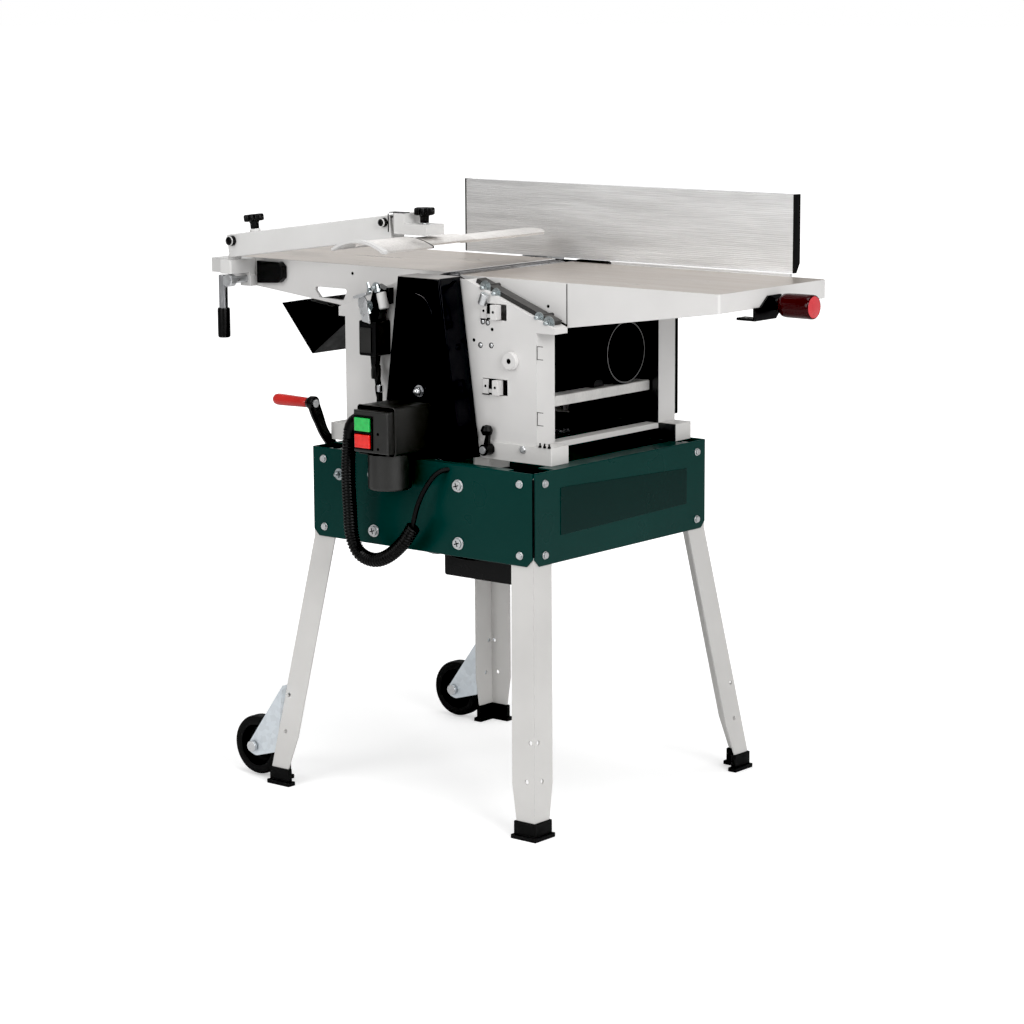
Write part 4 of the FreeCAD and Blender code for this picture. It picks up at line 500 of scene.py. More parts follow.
def smooth_path(points, step):
    """Even points along a Catmull-Rom curve through the given ones."""
    ends = [points[0] * 2 - points[1]] + list(points) + [points[-1] * 2 - points[-2]]
    fine = []
    for a, b, c, d in zip(ends, ends[1:], ends[2:], ends[3:]):
        for i in range(24):
            t = i / 24
            fine.append(0.5 * (2 * b + (c - a) * t + (2 * a - 5 * b + 4 * c - d) * t * t
                               + (3 * b - a - 3 * c + d) * t * t * t))
    fine.append(points[-1])
    even, walked = [fine[0]], 0.0
    for first, second in zip(fine, fine[1:]):
        span = (second - first).length
        while span > 0 and walked + span >= step * len(even):
            even.append(first.lerp(second, (step * len(even) - walked) / span))
        walked += span
    return even


def swept(bm, path, radius_at, sides=16):
    """Round tube along a path; radius_at gives the radius in metres for each point's number."""
    side = Vector((0, 0, 1)).cross(path[1] - path[0])
    if side.length < 1e-6:
        side = Vector((1, 0, 0))
    rings = []
    for number, point in enumerate(path):
        ahead = path[min(number + 1, len(path) - 1)] - path[max(number - 1, 0)]
        ahead.normalize()
        side = (side - ahead * side.dot(ahead)).normalized()
        across = ahead.cross(side)
        radius = radius_at(number)
        rings.append([bm.verts.new(point + (side * math.cos(2 * math.pi * i / sides)
                                            + across * math.sin(2 * math.pi * i / sides)) * radius)
                      for i in range(sides)])
    skin(bm, rings)
    cap(bm, rings)
    return bm


def cable(name, points, radius, material, body, step=4):
    """Round cable of one thickness through the given points."""
    path = smooth_path(points, step * MM)
    return piece(name, swept(bmesh.new(), path, lambda number: radius * MM, 12), material, body, 50)


def hex_prism(bm, across, thick, centre, axis):
    """Hexagon nut or head with chamfered corners."""
    corner = across / 2 / math.cos(math.pi / 6)
    profile = [(0, 0), (corner * 0.93, 0), (corner, thick * 0.14), (corner, thick * 0.86),
               (corner * 0.93, thick), (0, thick)]
    return turned(bm, profile, centre, axis, 6)


def nut_on_stud(name, centre, axis, body, across):
    """Washer, hexagon nut and the end of its threaded stud, as one piece."""
    washer_thick, stud, threads = 1.3, 3, 5
    bm = bmesh.new()
    axis = Vector(axis)
    turned(bm, disc(across * 0.95, 0, washer_thick), centre, axis, 32)
    hex_prism(bm, across, across * 0.55, centre + axis * washer_thick * MM, axis)
    top = across * 0.55 + washer_thick
    thread = [(0, top - 1)]
    for ring in range(threads):
        thread += [(stud, top + ring), (stud * 0.85, top + ring + 0.5)]
    thread.append((0, top + threads))
    turned(bm, thread, centre, axis, 24)
    return piece(name, bm, BOLT_ZINC, body, 30)


def dome_rivet(bm, centre, axis):
    """Low round rivet head."""
    radius = 3.5
    profile = [(radius, 0)]
    for i in range(1, 7):
        turn = math.radians(15 * i)
        profile.append((radius * math.cos(turn), radius * 0.45 * math.sin(turn)))
    profile[-1] = (0, radius * 0.45)
    return turned(bm, [(0, -0.3), (radius, -0.3)] + profile, centre, axis, 24)


# ---------------------------------------------------------------- CAD nodes that keep their shape

def dress(material, *nodes, edge=0.6, angle=35):
    """Material and real rounded edges on CAD nodes."""
    for node in nodes:
        made = frame["nodes"][node]
        for holder in made.material_slots:
            holder.material = material
        made.data.shade_smooth()
        weld = made.modifiers.new("weld", "WELD")
        weld.merge_threshold = 0.00001
        flat = made.modifiers.new("flat_faces", "DECIMATE")
        flat.decimate_type = "DISSOLVE"
        flat.angle_limit = math.radians(0.4)
        soften(made, edge, 2, angle)


def dress_cad():
    dress(GREEN, "skirt_front", "skirt_rear", "skirt_left", "skirt_right", edge=0.5)
    dress(LEG_GREY, "leg_front_left", "leg_front_right", "leg_rear_left", "leg_rear_right", edge=0.3)
    dress(RUBBER, "rubber_feet", edge=1.2)
    dress(ZINC, "stand_bolts", "kickback_pawls", edge=0.4)
    dress(BLUE_ZINC, "wheel_brackets", edge=0.4)
    dress(BODY_GREY, "side_panel_front", "side_panel_rear", edge=0.6)
    dress(RAIL_GREY, "base_rail_front", "base_rail_rear", "cross_members", edge=0.6)
    dress(STEEL, "cutter_block", "planer_knives", "cutter_bearings", "cutter_pulley", "motor_rotor",
          "infeed_roller", "outfeed_roller", "lift_screw_front", "lift_screw_rear", "lift_chain", edge=0.25)
    dress(BLACK_PAINT, "motor_housing", "knob_bracket", "interlock_switch", edge=0.8)
    dress(BELT, "drive_belt", edge=0.5)
    dress(COVER_BLACK, "belt_cover", edge=1.2)
    dress(HOOD_BLACK, "chip_hood", "rear_cover", edge=0.8)
    dress(TABLE_SIDE, "infeed_table", "outfeed_table", edge=0.7)
    dress(BED_TOP, "thickness_table", edge=0.8)
    dress(DARK_PAINT, "incline_bars", edge=0.5)
    dress(FENCE_SKIN, "fence_profile", edge=0.12, angle=50)
    dress(PLASTIC, "fence_end_caps", "fence_lever", "feed_lever", edge=0.8)
    dress(CASE_BLACK, "switch_box", edge=0.7)
    dress(GUARD_GREY, "guard_arm", "guard_mount", "guard_holder", edge=0.6)
    dress(ZINC, "fence_holder", "fence_bar", "fence_bracket", edge=0.6)
    dress(BUTTON_GREEN, "start_button", edge=0.8)
    dress(BUTTON_RED, "stop_button", edge=0.8)


# ---------------------------------------------------------------- tables

def table_tops():
    """Ground faces: thin sheets lying just on each table's painted casting, clear of its edges."""
    gap, skin_thick, inset, lip = 0.02, 0.25, 0.8, 1.5
    for body, node, lip_left, lip_right in (("infeed", "infeed_table", lip, 0),
                                            ("frame", "outfeed_table", 0, lip)):
        width, depth, _ = extent(node)
        origin = low(node)
        origin.z = high(node).z
        outline = rounded((inset + lip_left, inset), (width - inset - lip_right, depth - inset), 4)
        slab(node.replace("table", "top_face"), outline, "z", gap, gap + skin_thick, origin, TABLE_TOP, body,
             0.1)


# ---------------------------------------------------------------- hand parts

def star_knob(name, node, body, lift):
    """Six-lobed knob with a shallow dish in its outer face, on a stepped hub, and its stem."""
    axis = Vector(joint_of(body)["axis"]).normalized()
    base = pivot_of(body) + axis * lift * MM
    world = along_axis(base, axis)
    lobes, steps, crown, wave, dish = 6, 96, 14.8, 2.3, 9
    heights = ((12.4, 0.86), (13.4, 0.97), (15, 1.0), (21, 1.0), (22.8, 0.975), (24, 0.88))
    turns = [2 * math.pi * i / steps for i in range(steps)]
    reaches = [[(crown + wave * math.cos(lobes * turn)) * share for turn in turns] for _, share in heights]
    levels = [level for level, _ in heights] + [23.2]
    bm = bmesh.new()
    rings = []
    for level, reach in zip(levels, reaches + [[dish] * steps]):
        rings.append([bm.verts.new(world @ (Vector((r * math.cos(turn), r * math.sin(turn), level)) * MM))
                      for r, turn in zip(reach, turns)])
    skin(bm, rings)
    cap(bm, rings)
    hub = [(0, 0.2), (6.6, 0.2), (7.2, 1.2), (7.2, 9), (8.6, 12.6), (0, 12.6)]
    turned(bm, hub, base, axis, 32)
    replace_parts(piece(name, bm, PLASTIC, body), node)
    lathe(name + "_stem", disc(3.9, -17, 0.2), base, axis, ZINC, body, 24)


def depth_knob():
    """Glossy red knob, finely ribbed, with a lighter end face and a tapered neck on its steel shaft."""
    centre = middle("depth_knob")
    centre.x = high("depth_knob").x
    axis = Vector((-1, 0, 0))
    ribs, steps, length, radius = 36, 288, 60, extent("depth_knob").z / 2
    shape = ((0.4, -1.4, 0.0), (1.6, -0.4, 0.0), (4, 0.0, 0.0), (7, 0.0, 0.0), (8, 0.0, 0.15),
             (length - 14, -0.2, 0.15), (length - 13, -0.2, 0.0), (length - 7, -1.0, 0.0),
             (length - 1, -5.5, 0.0), (length, -7.5, 0.0))
    bm = bmesh.new()
    rings = []
    for along, change, groove in shape:
        ring = []
        for i in range(steps):
            turn = 2 * math.pi * i / steps
            reach = radius + change - groove * (0.5 - 0.5 * math.cos(ribs * turn)) ** 2
            spot = axis * along + Vector((0, math.cos(turn), math.sin(turn))) * reach
            ring.append(bm.verts.new(centre + spot * MM))
        rings.append(ring)
    skin(bm, rings)
    cap(bm, rings)
    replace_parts(piece("depth_knob_body", bm, KNOB_RED, "knob", 30), "depth_knob")
    face = [(0, 0.0), (12.5, 0.0), (13.2, 0.35), (radius - 2.2, 0.35), (radius - 1.5, 0.9),
            (radius - 1.5, 2.2), (0, 2.2)]
    lathe("depth_knob_cap", face, centre, axis, KNOB_FACE, "knob", 64)
    shaft_length = extent("depth_knob").x
    shaft = [(0, length - 2), (9, length - 2), (9, length + 8), (5, length + 9), (5, shaft_length - 0.6),
             (4.3, shaft_length), (0, shaft_length)]
    lathe("depth_knob_shaft", shaft, centre, axis, BLACK_PAINT, "knob", 32)


def crank():
    """Curved black arm with its hub and boss, and the red grip on its pin."""
    hub = pivot_of("crank")
    hub.x = high("crank_grip").x + 11 * MM
    boss = middle("crank_grip")
    boss.x = hub.x
    reach_y, reach_z = (boss - hub).y, (boss - hub).z
    line = ((0, 0), (0.30, 0.20), (0.62, 0.46), (0.80, 0.70), (0.93, 0.88), (1, 1))
    path = smooth_path([hub + Vector((0, reach_y * y, reach_z * z)) for y, z in line], 3 * MM)
    bm = bmesh.new()
    rings = []
    last = len(path) - 1
    half_thick, half_wide, waist = 4 * MM, 11.5, 2.8
    for number, point in enumerate(path):
        ahead = (path[min(number + 1, last)] - path[max(number - 1, 0)]).normalized()
        across = ahead.cross(Vector((1, 0, 0)))
        half = (half_wide - waist * math.sin(math.pi * min(1.0, number / last * 1.2))) * MM
        rings.append([bm.verts.new(point + Vector((x * half_thick, 0, 0)) + across * w * half)
                      for x, w in rounded((-1, -1), (1, 1), 0.45, 3)])
    skin(bm, rings)
    cap(bm, rings)
    out = Vector((-1, 0, 0))
    for place, radius, depth in ((hub, 13, 10), (boss, 11.5, 6)):
        profile = [(0, -depth + 1), (radius - 1.5, -depth + 1), (radius, -depth + 2.5), (radius, 4.2),
                   (radius - 2, 6.5), (radius - 3, 10.6), (0, 10.6)]
        turned(bm, profile, place, out, 40)
    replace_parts(piece("crank_arm_body", bm, BLACK_PAINT, "crank", 40), "crank_arm")
    shaft_length = (high("crank_arm").x - hub.x) / MM
    gear_back = shaft_length - 13
    shaft = [(0, 3), (5, 3), (5, gear_back), (13, gear_back), (13, gear_back + 3), (5, shaft_length),
             (0, shaft_length)]
    lathe("crank_shaft", shaft, hub, (1, 0, 0), STEEL, "crank", 32)
    lathe("crank_screw", disc(6.5, 6.5, 5.0), boss, (1, 0, 0), ZINC, "crank", 24)
    length = extent("crank_grip").x
    start = Vector((high("crank_grip").x, boss.y, boss.z))
    profile = [(0, 0), (7.4, 0), (8.0, 1.2), (8.4, 14), (9.1, 40), (9.6, length - 14), (9.4, length - 8),
               (8.4, length - 3.4), (6.4, length - 0.9), (3.6, length), (0, length)]
    grip = lathe("crank_grip_body", profile, start, out, GRIP_RED, "grip", 48, 50)
    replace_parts(grip, "crank_grip")


def clamp_lever():
    """Cam with its pin, a chromed tube and a black grip."""
    cam = pivot_of("guard_clamp")
    tube = cam + Vector((-16, 0, 0)) * MM
    bm = bmesh.new()
    profile = [(0, -6.9), (8.8, -6.9), (10.4, -5.6), (10.4, 5.6), (8.8, 6.9), (6, 6.9), (6, 47), (0, 47)]
    turned(bm, profile, cam, (0, 1, 0), 40)
    prism(bm, rectangle(-14, 0, -8, 6), "y", -5.4, 5.4, cam)
    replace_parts(piece("clamp_cam", bm, ZINC, "guard_clamp"), "clamp_lever")
    up = (0, 0, 1)
    sleeve = [(0, -47), (7.4, -47), (7.4, 7.4), (6.6, 8.3), (0, 8.3)]
    lathe("clamp_tube", sleeve, tube, up, CHROME, "guard_clamp", 48)
    grip = [(0, -95.8), (8.6, -95.8), (10.2, -94.2), (10.4, -90), (10.4, -50), (9.8, -46.6), (7.4, -46),
            (0, -46)]
    lathe("clamp_grip", grip, tube, up, PLASTIC, "guard_clamp", 48)


# ---------------------------------------------------------------- guard

def arched(name, half, rise, level, thick, start, end, material, nose=0.0, lip=0.0):
    """Arched strip along the guard, with a round nose of the given length at its far end."""
    base = low("bridge_guard")
    base.x = middle("bridge_guard").x
    rows, nose_steps = 28, 12
    stations = [start, start + 0.8]
    stations += [end - nose * (1 - i / nose_steps) for i in range(nose_steps + 1)] if nose else [end]
    bm = bmesh.new()
    upper, lower = [], []
    for y in stations:
        past = max(0.0, y - (end - nose)) / nose if nose else 0.0
        width = half * (1 - 0.55 * past ** 2.6)
        top_row, low_row = [], []
        for i in range(rows + 1):
            share = 2 * i / rows - 1
            height = level + rise * (1 - (share * width / half) ** 2)
            drop = lip if abs(share) > 0.985 else 0.0
            top_row.append(bm.verts.new(base + Vector((share * width, y, height)) * MM))
            under = Vector((share * width * 0.985, y, height - thick - drop))
            low_row.append(bm.verts.new(base + under * MM))
        upper.append(top_row)
        lower.append(low_row)
    skin(bm, upper, closed=False)
    skin(bm, lower, closed=False)
    for end_rows in ((upper[0], lower[0]), (upper[-1], lower[-1])):
        skin(bm, end_rows, closed=False)
    for side in (0, rows):
        skin(bm, [[row[side] for row in upper], [row[side] for row in lower]], closed=False)
    return piece(name, bm, material, "guard", 45)


def bridge_guard():
    """Pale arched guard: a wide shell near the operator and two stepped profiles under it."""
    shell = arched("guard_shell", 53, 12.2, 2.6, 2.2, 0, 116, GUARD_SKIN, lip=1.0)
    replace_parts(shell, "bridge_guard")
    arched("guard_end_rim", 53.8, 15, 2.8, 4.2, -1.5, 9, GUARD_GREY)
    arched("guard_far_seal", 53.2, 12.3, 2.7, 3.0, 114.5, 117.5, PLASTIC)
    arched("guard_wide_profile", 41, 6.2, 5.4, 3.2, 40, 231, GUARD_SKIN)
    arched("guard_narrow_profile", 37, 4.6, 4.0, 3.4, 201, extent("bridge_guard").y, GUARD_SKIN, nose=26)


def arm_caps():
    """Black round knobs on the arm's two pivots."""
    for name, body, radius in (("arm_cap_left", "arm", 8.4), ("arm_cap_right", "holder", 7.2)):
        centre = pivot_of(body)
        centre.y = low("guard_arm", y=9.2).y
        profile = [(0, 0), (radius, 0), (radius + 0.2, 2), (radius, 7), (radius - 1.5, 9.3),
                   (radius - 4, 10.2), (0, 10.4)]
        lathe(name, profile, centre, (0, -1, 0), PLASTIC, "arm", 32, 50)


def holder_details():
    """Dark channel on top of the holder's upright and the gap line down its face."""
    start = low("guard_holder")
    start.z = high("guard_holder").z
    channel = [(21, 0.1), (52, 0.1), (52, 1.4), (21, 1.4)]
    slab("holder_channel", channel, "y", 3, 18, start, PLASTIC, "holder", 0.3)
    gap = [(21.5, -1), (23.5, -1), (23.5, -30), (21.5, -30)]
    slab("holder_gap", gap, "y", -0.3, 0.5, start, SHADE_AND_JOINT_BLACK, "holder", 0.1)


# ---------------------------------------------------------------- switch and cables

def conduit():
    """Corrugated hose that leaves the switch box, loops under it and ends in a thin cable."""
    start = low("switch_box", -21, 20, 90)
    points = shifted(start, (0, 0, 0), (-8, 2, -60), (-13, 10, -133), (-14, 15, -172), (-1, 18, -199),
                     (28, 20, -207), (57, 22, -197), (86, 24, -173), (106, 26, -146))
    path = smooth_path(points, MM)
    ridge, groove, pitch = 11.6, 9.4, 5

    def radius(number):
        wave = 0.5 + 0.5 * math.cos(2 * math.pi * number / pitch)
        return (groove + (ridge - groove) * wave ** 0.6) * MM

    piece("conduit", swept(bmesh.new(), path, radius, 20), PLASTIC, "frame", 60)
    lead = shifted(path[-1], (-3, -1, -5), (6, 4, 35), (21, 9, 66), (36, 19, 87), (50, 40, 92))
    cable("motor_lead", lead, 4, RUBBER, "frame")
    elbow = shifted(start, (1, 1, -14), (2, 2, 2), (11, 3, 14), (28, 4, 16))
    cable("conduit_elbow", elbow, 13, PLASTIC, "frame", 3)


def switch_details():
    """Raised frame round the buttons, screw holes and the case's seam."""
    origin = low("stop_button")
    origin.y = low("start_button", y=5).y
    out = (0, -1, 0)
    wide = (high("start_button").x - origin.x) / MM
    tall = (high("start_button").z - origin.z) / MM
    gap, rim = 0.6, 3.2
    bars = ((-rim, wide + rim, tall + gap, tall + rim), (-rim, wide + rim, -rim, -gap),
            (-rim, -gap, -gap, tall + gap), (wide + gap, wide + rim, -gap, tall + gap),
            (-gap, wide + gap, 21.6, 25.4))
    bm = bmesh.new()
    for bar in bars:
        prism(bm, rectangle(*bar), "y", -2.4, 0.4, origin)
    soften(piece("button_frame", bm, PLASTIC, "frame"), 0.5)
    bm = bmesh.new()
    # Black discs at the screw holes: painted shade inside them.
    for centre in shifted(origin, (wide + 14, 0, tall / 2), (wide + 14, 0, 0)):
        turned(bm, disc(2.4, 0.2, -0.5), centre, out, 20)
    piece("switch_screw_holes", bm, SHADE_AND_JOINT_BLACK, "frame")
    corner = low("switch_box", y=14)
    corner.z = high("switch_box", z=-76).z
    seam = rounded((-1, -1), (extent("switch_box").x + 1, 77), 5)
    slab("switch_case_rim", seam, "y", 0, 3, corner, CASE_BLACK, "frame", 0.8)


def interlock_details():
    """Leads, gland, plate, bracket, roller, studs and nuts at the interlock switch."""
    near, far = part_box("interlock_switch")
    foot = Vector((near.x + 19 * MM, (near.y + far.y) / 2, near.z + 2 * MM))
    lead = shifted(foot, (0, 0, 4), (6, -3, -18), (12, -5, -44), (13, -8, -70), (15, -14, -78))
    cable("interlock_lead", lead, 5, RUBBER, "frame")
    up = (0, 0, 1)
    gland = [(0, -2), (7, -2), (7.5, 4), (7.5, 12), (6.4, 20), (0, 20)]
    gland_foot = foot + Vector((0, 0, -18)) * MM
    lathe("interlock_gland", gland, gland_foot, up, PLASTIC, "frame", 8)
    slab("interlock_plate", rounded((0, 0), (23, 40), 2), "y", -1.2, 0.2, low("interlock_switch", 3, 0, 25),
         CASE_BLACK, "frame", 0.4)
    nuts = zip(("top", "low"), shifted(far, (-22, -32, -4), (-38, -32, -34)))
    for name, centre in nuts:
        nut_on_stud(f"interlock_nut_{name}", centre, (0, -1, 0), "frame", 9)
    plate = low("interlock_switch", 24, -6)
    plate.z = high("interlock_switch", z=-58).z
    bm = bmesh.new()
    prism(bm, [(-9, 0), (7, -3), (0, 34), (-4, 39), (-16, 36), (-18, 30)], "y", -3, 0, plate)
    prism(bm, [(-16, 36), (-4, 39), (10, 44), (8, 48), (-18, 40)], "y", -14, 0, plate)
    soften(piece("interlock_bracket", bm, ZINC, "frame"), 0.5)
    lean = Vector((-0.26, 0, 0.97))
    roller = high("interlock_switch", -10, 0, -24)
    roller.y = low("interlock_switch", y=4).y
    barrel = [(0, -13), (7, -13), (8, -12), (8, 12), (7, 13), (0, 13)]
    lathe("interlock_roller", barrel, roller, lean, GUARD_GREY, "frame", 32)
    studs = ((-22, 12, 4, 16), (-4, 14, 4.5, 12), (-24, -22, 3.5, 14))
    for number, (x, z, radius, tall) in enumerate(studs, start=1):
        thin, shoulder = radius * 0.6, tall * 0.4
        profile = [(0, 0), (radius, 0), (radius, shoulder), (thin, shoulder), (thin, tall), (0, tall)]
        lathe(f"interlock_stud_{number}", profile, roller + Vector((x, -6, z)) * MM, lean, BOLT_ZINC,
              "frame", 6)
    side = shifted(foot, (9, -2, 2), (12, -6, -16), (9, -8, -34), (13, -6, -60), (17, -12, -76))
    cable("interlock_lead_side", side, 3, RUBBER, "frame")
    clip = [(0, -6), (4.5, -6), (5.5, -5), (5.5, 5), (4.5, 6), (0, 6)]
    clip_centre = foot + Vector((14, -6, -34)) * MM
    lathe("interlock_clip", clip, clip_centre, up, CHROME, "frame", 24)


# ---------------------------------------------------------------- body details

PANEL_BOSS = 7
RIVETS = ((-142, 186), (-132, 185), (-147, 149), (-125, 150))
TABS = ((-146, 190), (-143, 73))
SLOPE = math.radians(20.5)


def panel_spot(x, z, out=0):
    """Point on the front panel's outer face: x from the panel's right end, z from its foot."""
    near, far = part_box("side_panel_front")
    return Vector((far.x + x * MM, near.y + (PANEL_BOSS - out) * MM, near.z + z * MM))


def panel_details():
    """Spring tube, rivets, tapped holes and the two bent tabs in the panel's windows; the holes, the rings round
    the rivets and the window gaps behind the tabs are painted shade in near black.
    """
    front = (0, -1, 0)
    bm = bmesh.new()
    for place in RIVETS:
        dome_rivet(bm, panel_spot(*place), front)
    piece("panel_rivets", bm, ZINC, "frame")
    bm = bmesh.new()
    # Near-black rings round the rivets are painted shadows; the discs and window slabs below are painted shade in
    # the holes and behind the tabs, and the thin line under each tab is its gap.
    for place in RIVETS:
        turned(bm, disc(4.6, 0.06, -0.4), panel_spot(*place), front, 20)
    for place in ((-123, 175), (-160, 156)):
        turned(bm, disc(2.8, 0.12, -0.4), panel_spot(*place), front, 20)
    for place in TABS:
        prism(bm, rectangle(12, 28, 0, 25), "y", -0.3, 0.5, panel_spot(*place))
        prism(bm, rectangle(0, 14, -0.6, 0.6), "y", -1.6, 0.5, panel_spot(*place))
    piece("panel_holes_and_shadows", bm, SHADE_AND_JOINT_BLACK, "frame")
    tabs, marks = bmesh.new(), bmesh.new()
    for corner in (panel_spot(*place) for place in TABS):
        prism(tabs, rectangle(1, 13, 1, 24), "y", -1.5, 3, corner)
        prism(tabs, rectangle(27, 39, 1, 24), "y", -10, 3, corner)
        prism(tabs, rectangle(14, 26, 3, 9), "y", -2, 4, corner)
        # Black discs in the tabs: painted shade inside their holes.
        for centre in shifted(corner, (7, -1.5, 13), (33, -10, 13)):
            turned(marks, disc(2.2, 0.15, -0.3), centre, front, 20)
    soften(piece("panel_tabs", tabs, BODY_GREY, "frame"), 0.5)
    piece("panel_tab_holes", marks, SHADE_AND_JOINT_BLACK, "frame")
    along = Vector((math.sin(SLOPE), 0, math.cos(SLOPE)))
    tube = [(0, -9), (6.4, -9), (7.2, -8.2), (7.2, 8.2), (6.4, 9), (0, 9)]
    lathe("panel_spring_tube", tube, panel_spot(-135, 222, 6), along, ZINC, "frame", 32)
    boss = panel_spot(-84, 129, PANEL_BOSS)
    ring = [(4.2, 0.2), (12.8, 0.2), (12.8, -6.8), (14.2, -6.8), (14.2, -1.4), (12.9, 1.0), (4.2, 1.0),
            (4.2, 0.2)]
    lathe("panel_boss_ring", ring, boss, front, BODY_GREY, "frame", 48)
    # Black disc in the boss: painted shade inside its hole.
    lathe("panel_boss_hole", disc(4.4, 0.1, -0.5), boss, front, SHADE_AND_JOINT_BLACK, "frame", 24)
    screw = [(0, -1), (6, -1), (6, 2), (4.6, 3.6), (0, 4)]
    lathe("rail_screw", screw, panel_spot(-60, -7, 2.4), front, ZINC, "frame", 24)


def bar_nuts():
    """Nuts and studs that hold the two slide bars to the infeed table."""
    near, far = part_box("incline_bars")
    for side, y, out in (("front", near.y, -1), ("rear", far.y, 1)):
        for number, (x, across) in enumerate(((20, 11), (42, 9), (127, 9), (146, 11)), start=1):
            drop = 5.2 + x * math.tan(SLOPE)
            place = Vector((near.x + x * MM, y, far.z - drop * MM))
            nut_on_stud(f"bar_nut_{side}_{number}", place, (0, out, 0), "infeed", across)


def cover_details():
    """Cap nut and small screw on the belt cover, and the folded joint along its right side."""
    face = low("belt_cover").y
    cap_place = Vector((middle("switch_box").x + 15 * MM, face, high("switch_box", z=16).z))
    out = Vector((0, -1, 0))
    bm = bmesh.new()
    turned(bm, disc(9.5, 0, 1.4), cap_place, out, 32)
    hex_prism(bm, 13, 6, cap_place + out * 1.4 * MM, out)
    dome = [(6 * math.cos(math.radians(a)), 6 * math.sin(math.radians(a))) for a in range(0, 90, 15)]
    turned(bm, dome + [(0, 6)], cap_place + out * 7 * MM, out, 32)
    piece("cover_cap_nut", bm, CHROME, "frame", 30)
    top = Vector((middle("belt_cover").x, face, high("belt_cover").z))
    turns = [math.radians(86 - step * 6.5) for step in range(14)]
    path = shifted(top, *((-8 + 36 * math.cos(turn), 0.1, -62 + 36 * math.sin(turn)) for turn in turns))
    cable("cover_rib", path, 0.7, COVER_BLACK, "frame", 2)
    screw = [(0, 0), (4.5, 0), (4.5, 0.8), (3.4, 2.4), (1.4, 3), (0, 3)]
    screw_place = cap_place + Vector((-7, 0, -24)) * MM
    lathe("cover_screw", screw, screw_place, out, ZINC, "frame", 24)


def table_side_holes():
    """Tapped holes in the near sides of both tables, drawn as black discs: painted shade inside the holes."""
    for body, node, x, drop in (("infeed", "infeed_table", 178, 38), ("frame", "outfeed_table", 282, 14)):
        place = low(node, x)
        place.z = high(node, z=-drop).z
        lathe(node.replace("table", "side_hole"), disc(2.6, 0.12, -0.4), place, (0, -1, 0), SHADE_AND_JOINT_BLACK, body,
              24)


def seams():
    """Dark joints: across the infeed table's near side and between the skirts at the near corner."""
    start = low("infeed_table", 214.8)
    start.z = high("infeed_table").z
    line = [(-0.8, -1.5), (0.8, -1.5), (0.8, -66), (-0.8, -66)]
    slab("infeed_seam", line, "y", -0.25, 0.4, start, SHADE_AND_JOINT_BLACK, "infeed", 0.1)
    corner = high("skirt_right")
    corner.y = low("skirt_front").y
    gap = [(-4.4, 0.6), (-0.6, 0.6), (-0.6, 4.4), (-2.4, 4.4), (-2.4, 2.4), (-4.4, 2.4)]
    bm = prism(bmesh.new(), gap, "z", 16 - extent("skirt_right").z, -9, corner)
    piece("corner_seam", bm, SHADE_AND_JOINT_BLACK, "frame")


def post_seams():
    """Folded-tab outlines at the front end post and small black studs at its foot."""
    bm = bmesh.new()
    face = panel_spot(0, 0)
    face.z = high("side_panel_front").z
    left, right, line = -34, -22, 0.9
    for top, bottom in ((-94, -114), (-196, -216)):
        for box in ((left, right, top - line, top), (left, right, bottom - line, bottom),
                    (left, left + line, bottom, top)):
            prism(bm, rectangle(*box), "y", -0.15, 0.4, face)
    piece("post_tab_lines", bm, SHADE_AND_JOINT_BLACK, "frame")
    profile = [(0, -0.5), (2.6, -0.5), (2.6, 2.5), (1.4, 2.5), (1.4, 6.5), (0, 6.5)]
    for number, x in enumerate((-26, -17, -8), start=1):
        foot = panel_spot(x, 0, 3)
        foot.z = high("base_rail_front").z
        lathe(f"post_stud_{number}", profile, foot, (0, 0, 1), PLASTIC, "frame", 12)


def guard_clamp_block():
    """Black block beside the guard's mount, on the table's near side."""
    start = low("outfeed_table")
    start.z = high("outfeed_table").z
    left, right = 78, 136
    outline = [(left, -41), (right - 10, -38), (right, -30), (right, -10), (right - 8, -3), (left, -3)]
    slab("guard_clamp_block", outline, "y", -13.5, -0.2, start, PLASTIC, "frame", 2.0)


def front_bolts():
    """Two hexagon bolts near the front skirt's left end."""
    for number, x in enumerate((58, 76), start=1):
        nut_on_stud(f"front_bolt_{number}", low("skirt_front", x, 0, 105), (0, -1, 0), "frame", 10)


def drooping_cable():
    """Thin cable that hangs under the front skirt on its way to the motor."""
    start = low("skirt_front", y=46)
    start.x = middle("motor_rotor").x
    path = shifted(start, (-60, 0, 12), (-20, 0, 0), (15, 2, -9), (52, 4, -14), (86, 8, -12), (110, 14, 2))
    cable("drooping_cable", path, 2.2, RUBBER, "frame")


def stand_plate():
    """Blank plate on the infeed-end skirt, in place of any mark."""
    origin = low("skirt_right")
    origin.x = high("skirt_right").x
    outline = [(62, 42), (388, 46), (388, 104), (82, 116), (62, 116)]
    slab("stand_plate", outline, "x", 0.05, 0.7, origin, PLATE_GREEN, "frame", 0.3)


